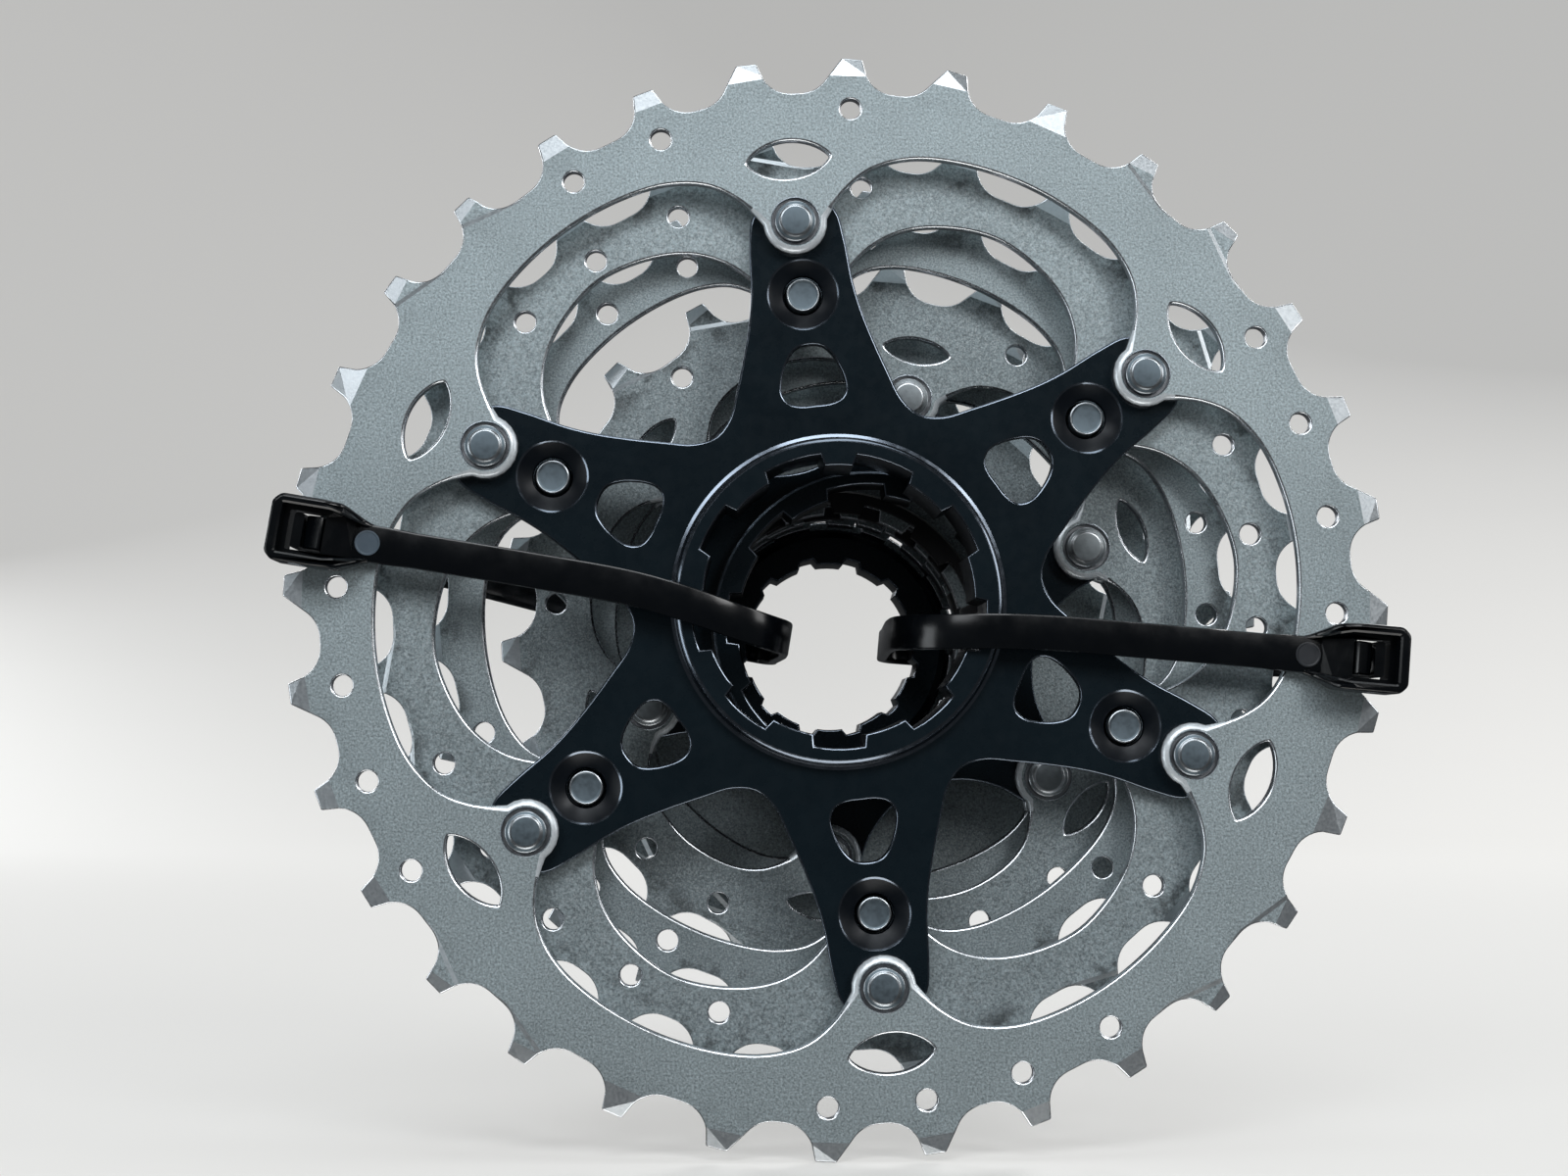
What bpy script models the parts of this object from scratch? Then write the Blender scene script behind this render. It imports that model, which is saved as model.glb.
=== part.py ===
"""Eleven-speed bicycle cassette, 11 to 32 teeth, kept together by two cable ties.

The cassette's axis is +Y, from the wheel side (largest sprocket) to the lockring, and +Z is up.
Its large cluster is on that axis. The ties hold the small cluster and the loose pieces a few
millimetres off it, as the bundle hangs when it is off a freehub.
The origin is on the axis, at the rear face of the large carrier's hub, where it meets the
shoulder of a freehub. Sizes below are in millimetres and degrees. An angle is measured
clockwise from +Z, as seen from the wheel side: x = r sin(angle), z = r cos(angle).
"""

import math

import bmesh
import bpy

MM = 0.001

# Chain and stack
CHAIN_PITCH = 12.7
ROLLER_R = 3.88
SPROCKET_T = 1.6
LAYER_PITCH = 3.74
GAP = 0.25  # clearance that touching pieces keep
TOOTH_LIFT = 0.4  # tooth tip above the pitch circle on the large sprockets
TOOTH_LIFT_SMALL = 0.9  # the same on the smallest sprocket
TIP_FROM, TIP_TO = -1.15, 1.3  # a tooth's tip, from and to, along the tangent
TEETH = (32, 28, 25, 22, 20, 18, 16, 14, 13, 12, 11)

# A tooth's sides: how far the roller seat is moved towards the tooth, and where its points lie, in
# degrees round the seat. In every eight teeth, three have a sloped side where the chain climbs.
STEEP = (1.0, (25, 62))
SLOPED = (0.05, (25, 52))
PATTERN = 8
SLOPED_TEETH = (7, 0, 1)

# Splined bore that a freehub fits
KEY_TIP_R = 16.0
GROOVE_R = 17.4
KEYS = 9
KEY_HALF_DEG = 9.0
NARROW_KEY_HALF_DEG = 6.0
KEY_FLANK_DEG = 1.2

# Rings of rivets: radius, first angle. Six of each, 60 degrees apart.
ARMS = 6
ARM_DEG = 360 / ARMS
LARGE_PHASE = -6.5
SMALL_PHASE = 10.0
OUTER_RIVET_R = 45.5
INNER_RIVET_R = 37.0
SMALL_RIVET_R = 28.6
SHANK_R = 2.0
HEAD_R = 2.8
HEAD_T = 0.5
RIVET_HOLE_R = SHANK_R + GAP
RIVET_SIDES = 8
ROUND_SIDES = 36
HEAD_CHAMFER = 0.5
HEAD_EDGE = 0.15
RIVET_SINK = 0.5  # how far an inner rivet's end stands below the carrier's near face

# First tooth of each sprocket, in degrees
PHASES = {
    32: 1.4, 28: 3.35, 25: 5.07, 22: 4.1, 20: 10.0,
    18: 3.0, 16: 8.0, 14: 2.0, 13: 5.0, 12: 9.0, 11: 1.0,
}

# How far off the axis the ties hold the small cluster, and the loose pieces behind it, as (x, z).
# On a freehub both are (0, 0).
SMALL_SHIFT = (4.2, -2.4)
LOOSE_SHIFT = (0.5, -3.85)

# How far each loose piece's bore has slipped round, in degrees
BORE_TURN = {22: 13.0, 18: 26.0, 16: 9.0, 14: 31.0, 13: 18.0, 12: 5.0, 11: 22.0}
SPACER_TURN = {18: 5.0, 16: 17.0, 14: 36.0}

# Ringed sprockets: inner rim radius, rivet ring radius, pad radius round each rivet
RIM = {32: 54.7, 28: 48.7, 25: 42.5, 22: 34.3, 20: 31.0}
PAD_R = 3.8
SMALL_PAD_R = 4.0
FLANK_LENGTH = 4.3  # how fast a rim runs in to its rivet pads, where they reach in by LONG_EAR
LONG_EAR = 9.2
FLANK_BASE = 3.0
PAD_SPREAD = 1.145  # where a pad's flank starts, in pad radii beside the rivet
PAD_DIP = 0.316  # how far outside the rivet's centre it starts, in pad radii

# Small round lightening holes: ring radius, radius, and the teeth that they stand under
HOLE_R = 1.25
HOLE_SIDES = 6
HOLE_RING = {32: 58.9, 28: 50.3, 25: 45.0, 22: 38.3}
HOLE_TEETH = {
    32: (5, 6, 7, 8, 13, 14, 15, 16, 21, 22, 23, 24, 29, 30, 0),
    28: (0, 5, 6, 7, 8, 9, 10, 15, 16, 17, 18, 19, 24, 25, 26, 27),
    25: (0, 5, 6, 7, 8, 9, 14, 15, 16, 17, 22, 23, 24),
    22: (1, 2, 5, 6, 8, 9, 12, 13, 16, 17, 19, 20),
}

# Lens-shaped windows outside each rivet: ring radius, half length, half width
LENS = {32: (53.0, 4.95, 2.3), 22: (34.6, 4.0, 1.5)}

# Large carrier: an arm's outline as radius and half angle, tip to root
ARM_T = LAYER_PITCH - SPROCKET_T - 2 * GAP
HUB_R = 19.4
HUB_LENGTH = 10.0
LARGE_ARM = (
    (49.0, 0), (48.6, 3.8), (47.0, 6.2), (43.5, 7.6), (38.5, 9.2), (35.3, 11.0), (31.7, 14.2),
    (28.1, 18.9), (25.4, 24.0), (24.4, 30.0),
)
WINDOW = ((30.9, 0.0), (30.6, 3.0), (29.0, 5.9), (25.9, 8.6), (24.4, 7.6), (23.7, 4.2), (23.6, 0.0))
SINK_R = 4.25
SINK_DEPTH = 1.0

# Small carrier
SMALL_ARM = ((32.4, 0), (31.6, 4.4), (29.2, 7.7), (25.6, 10.6), (22.6, 16.5), (21.2, 23.5), (20.8, 30.0))
SMALL_HUB_R = 19.0

# Lockring
LOCKRING_NOTCHES = 12
NOTCH_R = 11.8
NOTCH_TIP_R = 11.0
NOTCH_TIP_HALF = 0.28  # half of a notch's tip, and of its bottom, as shares of the notch's step
NOTCH_HALF = 0.14
FLANGE_CHAMFER = 0.5
FLANGE_R = 17.2
THREAD_R = 15.3
FLANGE_T = 2.0
THREAD_LENGTH = 6.0
WASHER_T = 0.5
WASHER_R = 17.0
BOSS_R = 18.2
SPACER_R = 18.8

# Cable ties: each strap runs outwards from its foot on the XZ plane. Its middle line is given as
# distance outwards, Y, and the shares of the tie's reach (outwards) and droop (sideways) in the bore.
STRAP_W = 4.15
STRAP_T = 1.2
TIE_LEFT = {"foot": (-0.585, -2.38), "towards": 279.2, "reach": -0.9, "droop": -2.5}
TIE_RIGHT = {"foot": (-0.05, -1.69), "towards": 94.9, "reach": 1.35, "droop": 1.1}
TIE_ROUTE = (
    (60.0, -1.1, 0.0, 0.0), (50.0, -1.05, 0.0, 0.0), (36.0, -1.0, 0.0, 0.0), (24.0, -0.95, 0.0, 0.08),
    (17.5, -0.9, 0.3, 0.4), (12.0, 0.3, 0.8, 0.8), (8.2, 3.4, 1.0, 1.0), (6.3, 8.5, 1.0, 1.0),
    (5.9, 16.0, 1.0, 1.0), (6.2, 26.0, 1.0, 1.0), (6.6, 35.0, 1.0, 1.0), (6.9, 41.0, 1.0, 1.0),
    (8.2, 43.5, 1.0, 1.0), (11.2, 44.5, 0.5, 0.94), (15.0, 44.0, 0.0, 0.87), (19.5, 42.5, 0.0, 0.79),
    (24.9, 39.7, 0.0, 0.69), (43.8, 21.2, 0.0, 0.33), (60.9, 4.6, 0.0, 0.0), (62.7, 1.0, 0.0, 0.0),
    (63.0, -2.0, 0.0, 0.0), (63.0, -4.0, 0.0, 0.0),
)
STRAP_STEP = 2.5  # between the points of a strap's bends
STRAIGHT_RUN = 10  # a run longer than this is one step
TIE_HEAD = ((54.4, 2.3), (58.1, 3.92), (65.5, 3.92), (66.2, 3.2))  # half outline: out, half width
TIE_POCKET = (60.4, 64.4, 2.5)  # from, to, half width
TIE_HEAD_Y = (-5.7, -0.35)
TIE_POCKET_Y = -4.4


def polar(radius, angle):
    """The point (x, z) at a radius and an angle in degrees."""
    a = math.radians(angle)
    return (radius * math.sin(a), radius * math.cos(a))


def circle(radius, sides, centre=(0.0, 0.0), first=0.0):
    points = [polar(radius, first + 360 * i / sides) for i in range(sides)]
    return [(centre[0] + x, centre[1] + z) for x, z in points]


def pitch_radius(teeth):
    return CHAIN_PITCH / (2 * math.sin(math.pi / teeth))


def tip_radius(teeth):
    small = max(0, 20 - teeth) / 9
    return pitch_radius(teeth) + TOOTH_LIFT + (TOOTH_LIFT_SMALL - TOOTH_LIFT) * small


def around(centre_angle, offset, outward):
    """A point that lies `offset` along the tangent and `outward` along the radius at an angle."""
    a = math.radians(centre_angle)
    return (
        outward * math.sin(a) + offset * math.cos(a),
        outward * math.cos(a) - offset * math.sin(a),
    )


def toothed(teeth):
    """Outline of a sprocket: flat-topped teeth, and a seat for the chain's roller between two."""
    outline = []
    step = 360 / teeth
    pitch_r, tip_r = pitch_radius(teeth), tip_radius(teeth)
    for i in range(teeth):
        tooth = PHASES[teeth] + i * step
        side = []
        for direction, (moved, turns) in (
            (1, SLOPED if i % PATTERN in SLOPED_TEETH else STEEP),
            (-1, STEEP),
        ):
            valley = tooth - direction * step / 2
            seat = []
            for turn in turns:
                a = math.radians(turn)
                offset = direction * (moved + ROLLER_R * math.sin(a))
                seat.append(around(valley, offset, pitch_r - ROLLER_R * math.cos(a)))
            side.append(seat)
        tip = [polar(tip_r, tooth + math.degrees(t / tip_r)) for t in (TIP_FROM, TIP_TO)]
        outline += [*side[0], *tip, *reversed(side[1])]
    return outline


def splines(turn=0.0):
    """Outline of the bore: nine keys point inwards, and one of them is narrower."""
    outline = []
    for i in range(KEYS):
        middle = turn + i * 360 / KEYS
        half = NARROW_KEY_HALF_DEG if i == 0 else KEY_HALF_DEG
        outline += [
            polar(GROOVE_R, middle - half - KEY_FLANK_DEG),
            polar(KEY_TIP_R, middle - half),
            polar(KEY_TIP_R, middle + half),
            polar(GROOVE_R, middle + half + KEY_FLANK_DEG),
        ]
    return outline


def rivet_angles(phase):
    return [phase + i * ARM_DEG for i in range(ARMS)]


def eared_rim(teeth, ear_r, pad_r, phase):
    """Inner outline of a ringed sprocket: an arc that runs in to a round pad at each rivet."""
    rim = RIM[teeth]
    reach = (rim - ear_r + FLANK_BASE) / (LONG_EAR + FLANK_BASE)
    flank_deg = math.degrees(FLANK_LENGTH * reach / ear_r)
    start_deg = math.degrees(pad_r * PAD_SPREAD / ear_r)
    half = []
    for k in range(6):
        from_ear = start_deg + (ARM_DEG / 2 - start_deg) * (k / 5) ** 1.7
        drop = (rim - ear_r - PAD_DIP * pad_r) * math.exp(-(from_ear - start_deg) / flank_deg)
        half.append((rim - drop, from_ear))
    outline = []
    for ear in rivet_angles(phase):
        outline += [polar(r, ear - a) for r, a in reversed(half[:-1])]
        for turn in (-90, -45, 0, 45, 90):
            a = math.radians(turn)
            outline.append(around(ear, pad_r * math.sin(a), ear_r - pad_r * math.cos(a)))
        outline += [polar(r, ear + a) for r, a in half]
    return outline


def lens(teeth, angle):
    """A pointed oval window, its long way along the rim."""
    ring_r, half_length, half_width = LENS[teeth]
    side = [(t, half_width * (1 - t * t)) for t in (-1, -0.55, 0, 0.55)]
    return [around(angle, t * half_length, ring_r + w) for t, w in side] + [
        around(angle, -t * half_length, ring_r - w) for t, w in side
    ]


def mirrored_polar(half, middle):
    """An outline given as (radius, half angle) on one side of an angle, and mirrored to the other."""
    outline = [polar(r, middle - a) for r, a in half]
    return outline + [polar(r, middle + a) for r, a in reversed(half) if a]


class Solid:
    """A closed mesh, put together from flat caps and the walls between outlines."""

    def __init__(self):
        self.mesh = bmesh.new()
        self.rings = {}

    def ring(self, outline, y):
        key = (id(outline), y)
        if key not in self.rings:
            verts = [self.mesh.verts.new((x * MM, y * MM, z * MM)) for x, z in outline]
            self.rings[key] = (outline, verts)
        return self.rings[key][1]

    def wall(self, outline, y0, y1, into=None):
        """Joins an outline at y0 to itself, or to another with as many points, at y1."""
        a = self.ring(outline, y0)
        b = self.ring(into or outline, y1)
        for i in range(len(a)):
            self.mesh.faces.new((a[i - 1], a[i], b[i], b[i - 1]))

    def cap(self, y, *outlines):
        """Fills the flat area between outlines, where each inner one is a hole."""
        edges = []
        for outline in outlines:
            verts = self.ring(outline, y)
            for pair in zip([verts[-1]] + verts[:-1], verts):
                edges.append(self.mesh.edges.get(pair) or self.mesh.edges.new(pair))
        bmesh.ops.triangle_fill(self.mesh, use_beauty=True, edges=edges, normal=(0, 1, 0))

    def slab(self, y0, y1, *outlines):
        """A plate: the outer outline first, then its holes."""
        self.cap(y0, *outlines)
        self.cap(y1, *outlines)
        for outline in outlines:
            self.wall(outline, y0, y1)

    def data(self, name):
        bmesh.ops.recalc_face_normals(self.mesh, faces=self.mesh.faces)
        mesh = bpy.data.meshes.new(name)
        self.mesh.to_mesh(mesh)
        self.mesh.free()
        return mesh


def material(name, colour, roughness, metallic):
    made = bpy.data.materials.new(name)
    made.use_nodes = True
    shader = made.node_tree.nodes["Principled BSDF"]
    shader.inputs["Base Color"].default_value = (*colour, 1)
    shader.inputs["Roughness"].default_value = roughness
    shader.inputs["Metallic"].default_value = metallic
    made.diffuse_color = (*colour, 1)
    return made


def place(name, mesh, finish, at=(0.0, 0.0), shift=(0.0, 0.0)):
    """Puts a mesh into the scene as one named piece; `at` and `shift` are (x, z) in millimetres."""
    if not mesh.materials:
        mesh.materials.append(finish)
    piece = bpy.data.objects.new(name, mesh)
    piece.location = ((at[0] + shift[0]) * MM, 0.0, (at[1] + shift[1]) * MM)
    bpy.context.collection.objects.link(piece)
    return piece


def turned(name, profile, sides):
    """A round piece about Y, from its profile of (radius, y), near end to far end."""
    solid = Solid()
    rings = [circle(radius, sides) for radius, _ in profile]
    levels = [y for _, y in profile]
    solid.cap(levels[0], rings[0])
    for i in range(len(rings) - 1):
        solid.wall(rings[i], levels[i], levels[i + 1], rings[i + 1])
    solid.cap(levels[-1], rings[-1])
    return solid.data(name)


def layer(teeth):
    """The near face of a sprocket, as its place in the stack says."""
    return TEETH.index(teeth) * LAYER_PITCH


def ringed_sprocket(teeth, ear_r, pad_r, phase, shift=(0.0, 0.0)):
    """A ring of teeth on ears, which have their rivet holes at radius ear_r."""
    y = layer(teeth)
    outlines = [toothed(teeth), eared_rim(teeth, ear_r, pad_r, phase)]
    for angle in rivet_angles(phase):
        outlines.append(circle(RIVET_HOLE_R, RIVET_SIDES, polar(ear_r, angle)))
        if teeth in LENS:
            outlines.append(lens(teeth, angle))
    for tooth in HOLE_TEETH.get(teeth, ()):
        at = polar(HOLE_RING[teeth], PHASES[teeth] + hole_shift(teeth) + tooth * 360 / teeth)
        outlines.append(circle(HOLE_R, HOLE_SIDES, at))
    solid = Solid()
    solid.slab(y, y + SPROCKET_T, *outlines)
    place(f"sprocket_{teeth}t", solid.data(f"sprocket_{teeth}t"), STEEL, shift=shift)


def hole_shift(teeth):
    """The small holes stand under the teeth on every ring but the 22-tooth one."""
    return 180 / teeth if teeth == 22 else 0.0


def splined_sprocket(teeth, boss):
    """A loose sprocket; `boss` adds the collar that spaces it from its larger neighbour."""
    y = layer(teeth)
    outer = toothed(teeth)
    bore = splines(BORE_TURN[teeth])
    solid = Solid()
    solid.cap(y + SPROCKET_T, outer, bore)
    solid.wall(outer, y, y + SPROCKET_T)
    if boss:
        start = y - LAYER_PITCH + SPROCKET_T + GAP
        collar = circle(BOSS_R, ROUND_SIDES)
        solid.cap(y, outer, collar)
        solid.wall(collar, start, y)
        solid.cap(start, collar, bore)
        solid.wall(bore, start, y + SPROCKET_T)
    else:
        solid.cap(y, outer, bore)
        solid.wall(bore, y, y + SPROCKET_T)
    place(f"sprocket_{teeth}t", solid.data(f"sprocket_{teeth}t"), STEEL, shift=LOOSE_SHIFT)


def spacer(larger, smaller):
    """The splined ring between two loose sprockets."""
    near, far = layer(larger) + SPROCKET_T + GAP, layer(smaller) - GAP
    solid = Solid()
    solid.slab(near, far, circle(SPACER_R, ROUND_SIDES), splines(SPACER_TURN[smaller]))
    name = f"spacer_{smaller}_{larger}"
    place(name, solid.data(name), PLASTIC, shift=LOOSE_SHIFT)


def star(arm, phase):
    """Outline of a carrier, from the half outline of one arm."""
    outline = []
    for angle in rivet_angles(phase):
        half = [(r, a) for r, a in arm if a < ARM_DEG / 2]
        outline += [polar(r, angle - a) for r, a in reversed(half) if a]
        outline += [polar(r, angle + a) for r, a in half]
        outline.append(polar(arm[-1][0], angle + ARM_DEG / 2))
    return outline


def large_carrier():
    """Six arms on a splined hub. Each arm has a window and a countersunk rivet hole."""
    near, far = SPROCKET_T + GAP, SPROCKET_T + GAP + ARM_T
    arms = star(LARGE_ARM, LARGE_PHASE)
    hub = circle(HUB_R, ROUND_SIDES)
    bore = splines()
    solid = Solid()
    near_outlines, far_outlines = [arms, hub], [arms, hub]
    for angle in rivet_angles(LARGE_PHASE):
        window = mirrored_polar(WINDOW, angle)
        outer = circle(RIVET_HOLE_R, RIVET_SIDES, polar(OUTER_RIVET_R, angle))
        inner = circle(RIVET_HOLE_R, RIVET_SIDES, polar(INNER_RIVET_R, angle))
        sink = circle(SINK_R, RIVET_SIDES, polar(INNER_RIVET_R, angle))
        solid.wall(window, near, far)
        solid.wall(outer, near, far)
        solid.wall(sink, near, near + SINK_DEPTH, inner)
        solid.wall(inner, near + SINK_DEPTH, far)
        near_outlines += [window, outer, sink]
        far_outlines += [window, outer, inner]
    solid.cap(near, *near_outlines)
    solid.cap(far, *far_outlines)
    solid.wall(arms, near, far)
    solid.cap(0.0, hub, bore)
    solid.wall(hub, 0.0, near)
    solid.wall(hub, far, HUB_LENGTH)
    solid.cap(HUB_LENGTH, hub, bore)
    solid.wall(bore, 0.0, HUB_LENGTH)
    place("carrier_large", solid.data("carrier_large"), ANODISED)


def small_carrier():
    """Six short arms between the 22 and 20-tooth sprockets, on a splined hub."""
    near = layer(22) + SPROCKET_T + GAP
    far = near + ARM_T
    hub_near, hub_far = HUB_LENGTH + GAP, layer(20) + SPROCKET_T
    arms = star(SMALL_ARM, SMALL_PHASE)
    centres = [polar(SMALL_RIVET_R, angle) for angle in rivet_angles(SMALL_PHASE)]
    holes = [circle(RIVET_HOLE_R, RIVET_SIDES, centre) for centre in centres]
    hub = circle(SMALL_HUB_R, ROUND_SIDES)
    bore = splines(BORE_TURN[22])
    solid = Solid()
    for hole in holes:
        solid.wall(hole, near, far)
    solid.cap(near, arms, hub, *holes)
    solid.cap(far, arms, hub, *holes)
    solid.wall(arms, near, far)
    solid.cap(hub_near, hub, bore)
    solid.wall(hub, hub_near, near)
    solid.wall(hub, far, hub_far)
    solid.cap(hub_far, hub, bore)
    solid.wall(bore, hub_near, hub_far)
    place("carrier_small", solid.data("carrier_small"), ANODISED, shift=SMALL_SHIFT)


def rivet_head(face, outward):
    """Profile of a rivet's head, end first, on a face at y; `outward` is -1 or 1 along Y."""
    return [
        (HEAD_R - HEAD_CHAMFER, face + outward * HEAD_T),
        (HEAD_R, face + outward * HEAD_EDGE),
        (HEAD_R, face),
    ]


def rivets():
    """Six outer rivets, six long inner rivets with their collars, and six on the small carrier."""
    outer = [
        *rivet_head(-GAP, -1), (SHANK_R, -GAP), (SHANK_R, SPROCKET_T + GAP + ARM_T),
    ]
    inner_far = layer(25) + SPROCKET_T + GAP
    inner = [
        (SHANK_R, SPROCKET_T + GAP + RIVET_SINK), (SHANK_R, inner_far),
        *reversed(rivet_head(inner_far, 1)),
    ]
    small_near, small_far = layer(22) - GAP, layer(20) + SPROCKET_T + GAP
    small = [
        *rivet_head(small_near, -1), (SHANK_R, small_near), (SHANK_R, small_far),
        *reversed(rivet_head(small_far, 1)),
    ]
    tube = Solid()
    tube.slab(
        layer(28) + SPROCKET_T + GAP, layer(25) - GAP,
        circle(PAD_R, RIVET_SIDES), circle(RIVET_HOLE_R, RIVET_SIDES),
    )
    large, small_one = (LARGE_PHASE, (0.0, 0.0)), (SMALL_PHASE, SMALL_SHIFT)
    for name, mesh, radius, (phase, shift) in (
        ("rivet_outer", turned("outer_rivet", outer, RIVET_SIDES), OUTER_RIVET_R, large),
        ("rivet_inner", turned("inner_rivet", inner, RIVET_SIDES), INNER_RIVET_R, large),
        ("collar", tube.data("collar"), INNER_RIVET_R, large),
        ("rivet_small", turned("small_rivet", small, RIVET_SIDES), SMALL_RIVET_R, small_one),
    ):
        for i, angle in enumerate(rivet_angles(phase)):
            place(f"{name}_{i + 1}", mesh, RIVET_STEEL, polar(radius, angle), shift)


def lockring():
    """A flanged ring whose threaded sleeve reaches into the freehub, with twelve tool notches."""
    start = layer(11) + SPROCKET_T + GAP + WASHER_T + GAP
    end = start + FLANGE_T
    step = 360 / LOCKRING_NOTCHES
    inner = []
    for i in range(LOCKRING_NOTCHES):
        inner += [
            polar(NOTCH_TIP_R, (i - NOTCH_TIP_HALF) * step),
            polar(NOTCH_TIP_R, (i + NOTCH_TIP_HALF) * step),
            polar(NOTCH_R, (i + 0.5 - NOTCH_HALF) * step),
            polar(NOTCH_R, (i + 0.5 + NOTCH_HALF) * step),
        ]
    flange = circle(FLANGE_R, ROUND_SIDES)
    rim = circle(FLANGE_R - FLANGE_CHAMFER, ROUND_SIDES)
    sleeve = circle(THREAD_R, ROUND_SIDES)
    solid = Solid()
    solid.cap(end, rim, inner)
    solid.wall(rim, end, end - FLANGE_CHAMFER, flange)
    solid.wall(flange, end - FLANGE_CHAMFER, start)
    solid.cap(start, flange, sleeve)
    solid.wall(sleeve, start, start - THREAD_LENGTH)
    solid.cap(start - THREAD_LENGTH, sleeve, inner)
    solid.wall(inner, start - THREAD_LENGTH, end)
    place("lockring", solid.data("lockring"), ANODISED, shift=LOOSE_SHIFT)
    thin = Solid()
    rim, hole = circle(WASHER_R, ROUND_SIDES), circle(KEY_TIP_R, ROUND_SIDES)
    thin.slab(start - GAP - WASHER_T, start - GAP, rim, hole)
    place("lockring_washer", thin.data("lockring_washer"), STEEL, shift=LOOSE_SHIFT)


def spline_point(p0, p1, p2, p3, share):
    """A point between p1 and p2 on the centripetal Catmull-Rom curve through four points."""
    t1 = max(math.dist(p0, p1), 1e-6) ** 0.5
    t2 = t1 + math.dist(p1, p2) ** 0.5
    t3 = t2 + max(math.dist(p2, p3), 1e-6) ** 0.5
    t = t1 + (t2 - t1) * share

    def mix(a, b, ta, tb):
        return [(tb - t) / (tb - ta) * u + (t - ta) / (tb - ta) * v for u, v in zip(a, b)]

    a1, a2, a3 = mix(p0, p1, 0.0, t1), mix(p1, p2, t1, t2), mix(p2, p3, t2, t3)
    return mix(mix(a1, a2, 0.0, t2), mix(a2, a3, t1, t3), t1, t2)


def smooth_route(points):
    """Points along a smooth curve through the route's own points."""
    padded = [points[0], *points, points[-1]]
    route = []
    for p0, p1, p2, p3 in zip(padded, padded[1:], padded[2:], padded[3:]):
        run = math.dist(p1, p2)
        steps = 1 if run > STRAIGHT_RUN else max(1, round(run / STRAP_STEP))
        route += [spline_point(p0, p1, p2, p3, k / steps) for k in range(steps)]
    return route + [points[-1]]


def strap(tie):
    """The flat strap swept along its route, as a mesh."""
    u = polar(1.0, tie["towards"])
    w = (u[1], -u[0])
    foot = tie["foot"]
    route = smooth_route([
        (out + tie["reach"] * reach, y, tie["droop"] * droop) for out, y, reach, droop in TIE_ROUTE
    ])
    mesh = bmesh.new()
    sections = []
    for i, (s, y, aside) in enumerate(route):
        before, after = route[max(i - 1, 0)], route[min(i + 1, len(route) - 1)]
        length = math.dist(before[:2], after[:2])
        normal = ((after[1] - before[1]) / length, -(after[0] - before[0]) / length)
        section = []
        for side, face in ((-1, -1), (1, -1), (1, 1), (-1, 1)):
            out = s + face * normal[0] * STRAP_T / 2
            across = aside + side * STRAP_W / 2
            x = foot[0] + out * u[0] + across * w[0]
            z = foot[1] + out * u[1] + across * w[1]
            section.append(mesh.verts.new((x * MM, (y + face * normal[1] * STRAP_T / 2) * MM, z * MM)))
        sections.append(section)
    for a, b in zip(sections, sections[1:]):
        for k in range(4):
            mesh.faces.new((a[k - 1], a[k], b[k], b[k - 1]))
    mesh.faces.new(sections[0])
    mesh.faces.new(sections[-1])
    bmesh.ops.recalc_face_normals(mesh, faces=mesh.faces)
    data = bpy.data.meshes.new("strap")
    mesh.to_mesh(data)
    mesh.free()
    return data


def tie_head(tie):
    """The locking head: a block with a flare towards the strap and a pocket at the pawl."""
    angle = tie["towards"]
    foot = tie["foot"]

    def spot(out, across):
        x, z = around(angle, across, out)
        return (foot[0] + x, foot[1] + z)

    block = [spot(out, -across) for out, across in TIE_HEAD]
    block += [spot(out, across) for out, across in reversed(TIE_HEAD)]
    low, high, half = TIE_POCKET
    pocket = [spot(low, -half), spot(high, -half), spot(high, half), spot(low, half)]
    near, far = TIE_HEAD_Y
    solid = Solid()
    solid.cap(near, block, pocket)
    solid.wall(pocket, near, TIE_POCKET_Y)
    solid.cap(TIE_POCKET_Y, pocket)
    solid.wall(block, near, far)
    solid.cap(far, block)
    return solid.data("tie_head")


def cable_tie(name, tie):
    """One moulded tie, closed through its own head."""
    piece = place(name, strap(tie), NYLON)
    head = place(f"{name}_head", tie_head(tie), NYLON)
    head.hide_render = True
    head.display_type = "WIRE"
    join = piece.modifiers.new("head", "BOOLEAN")
    join.operation = "UNION"
    join.solver = "EXACT"
    join.object = head


for old in list(bpy.data.objects):
    bpy.data.objects.remove(old)

STEEL = material("bead_blasted_steel", (0.50, 0.51, 0.52), 0.45, 0.9)
RIVET_STEEL = material("rivet_steel", (0.36, 0.38, 0.40), 0.35, 0.9)
ANODISED = material("black_anodised", (0.015, 0.022, 0.032), 0.28, 0.6)
PLASTIC = material("black_spacer", (0.02, 0.02, 0.022), 0.5, 0.0)
NYLON = material("black_nylon", (0.012, 0.013, 0.015), 0.25, 0.0)

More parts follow.
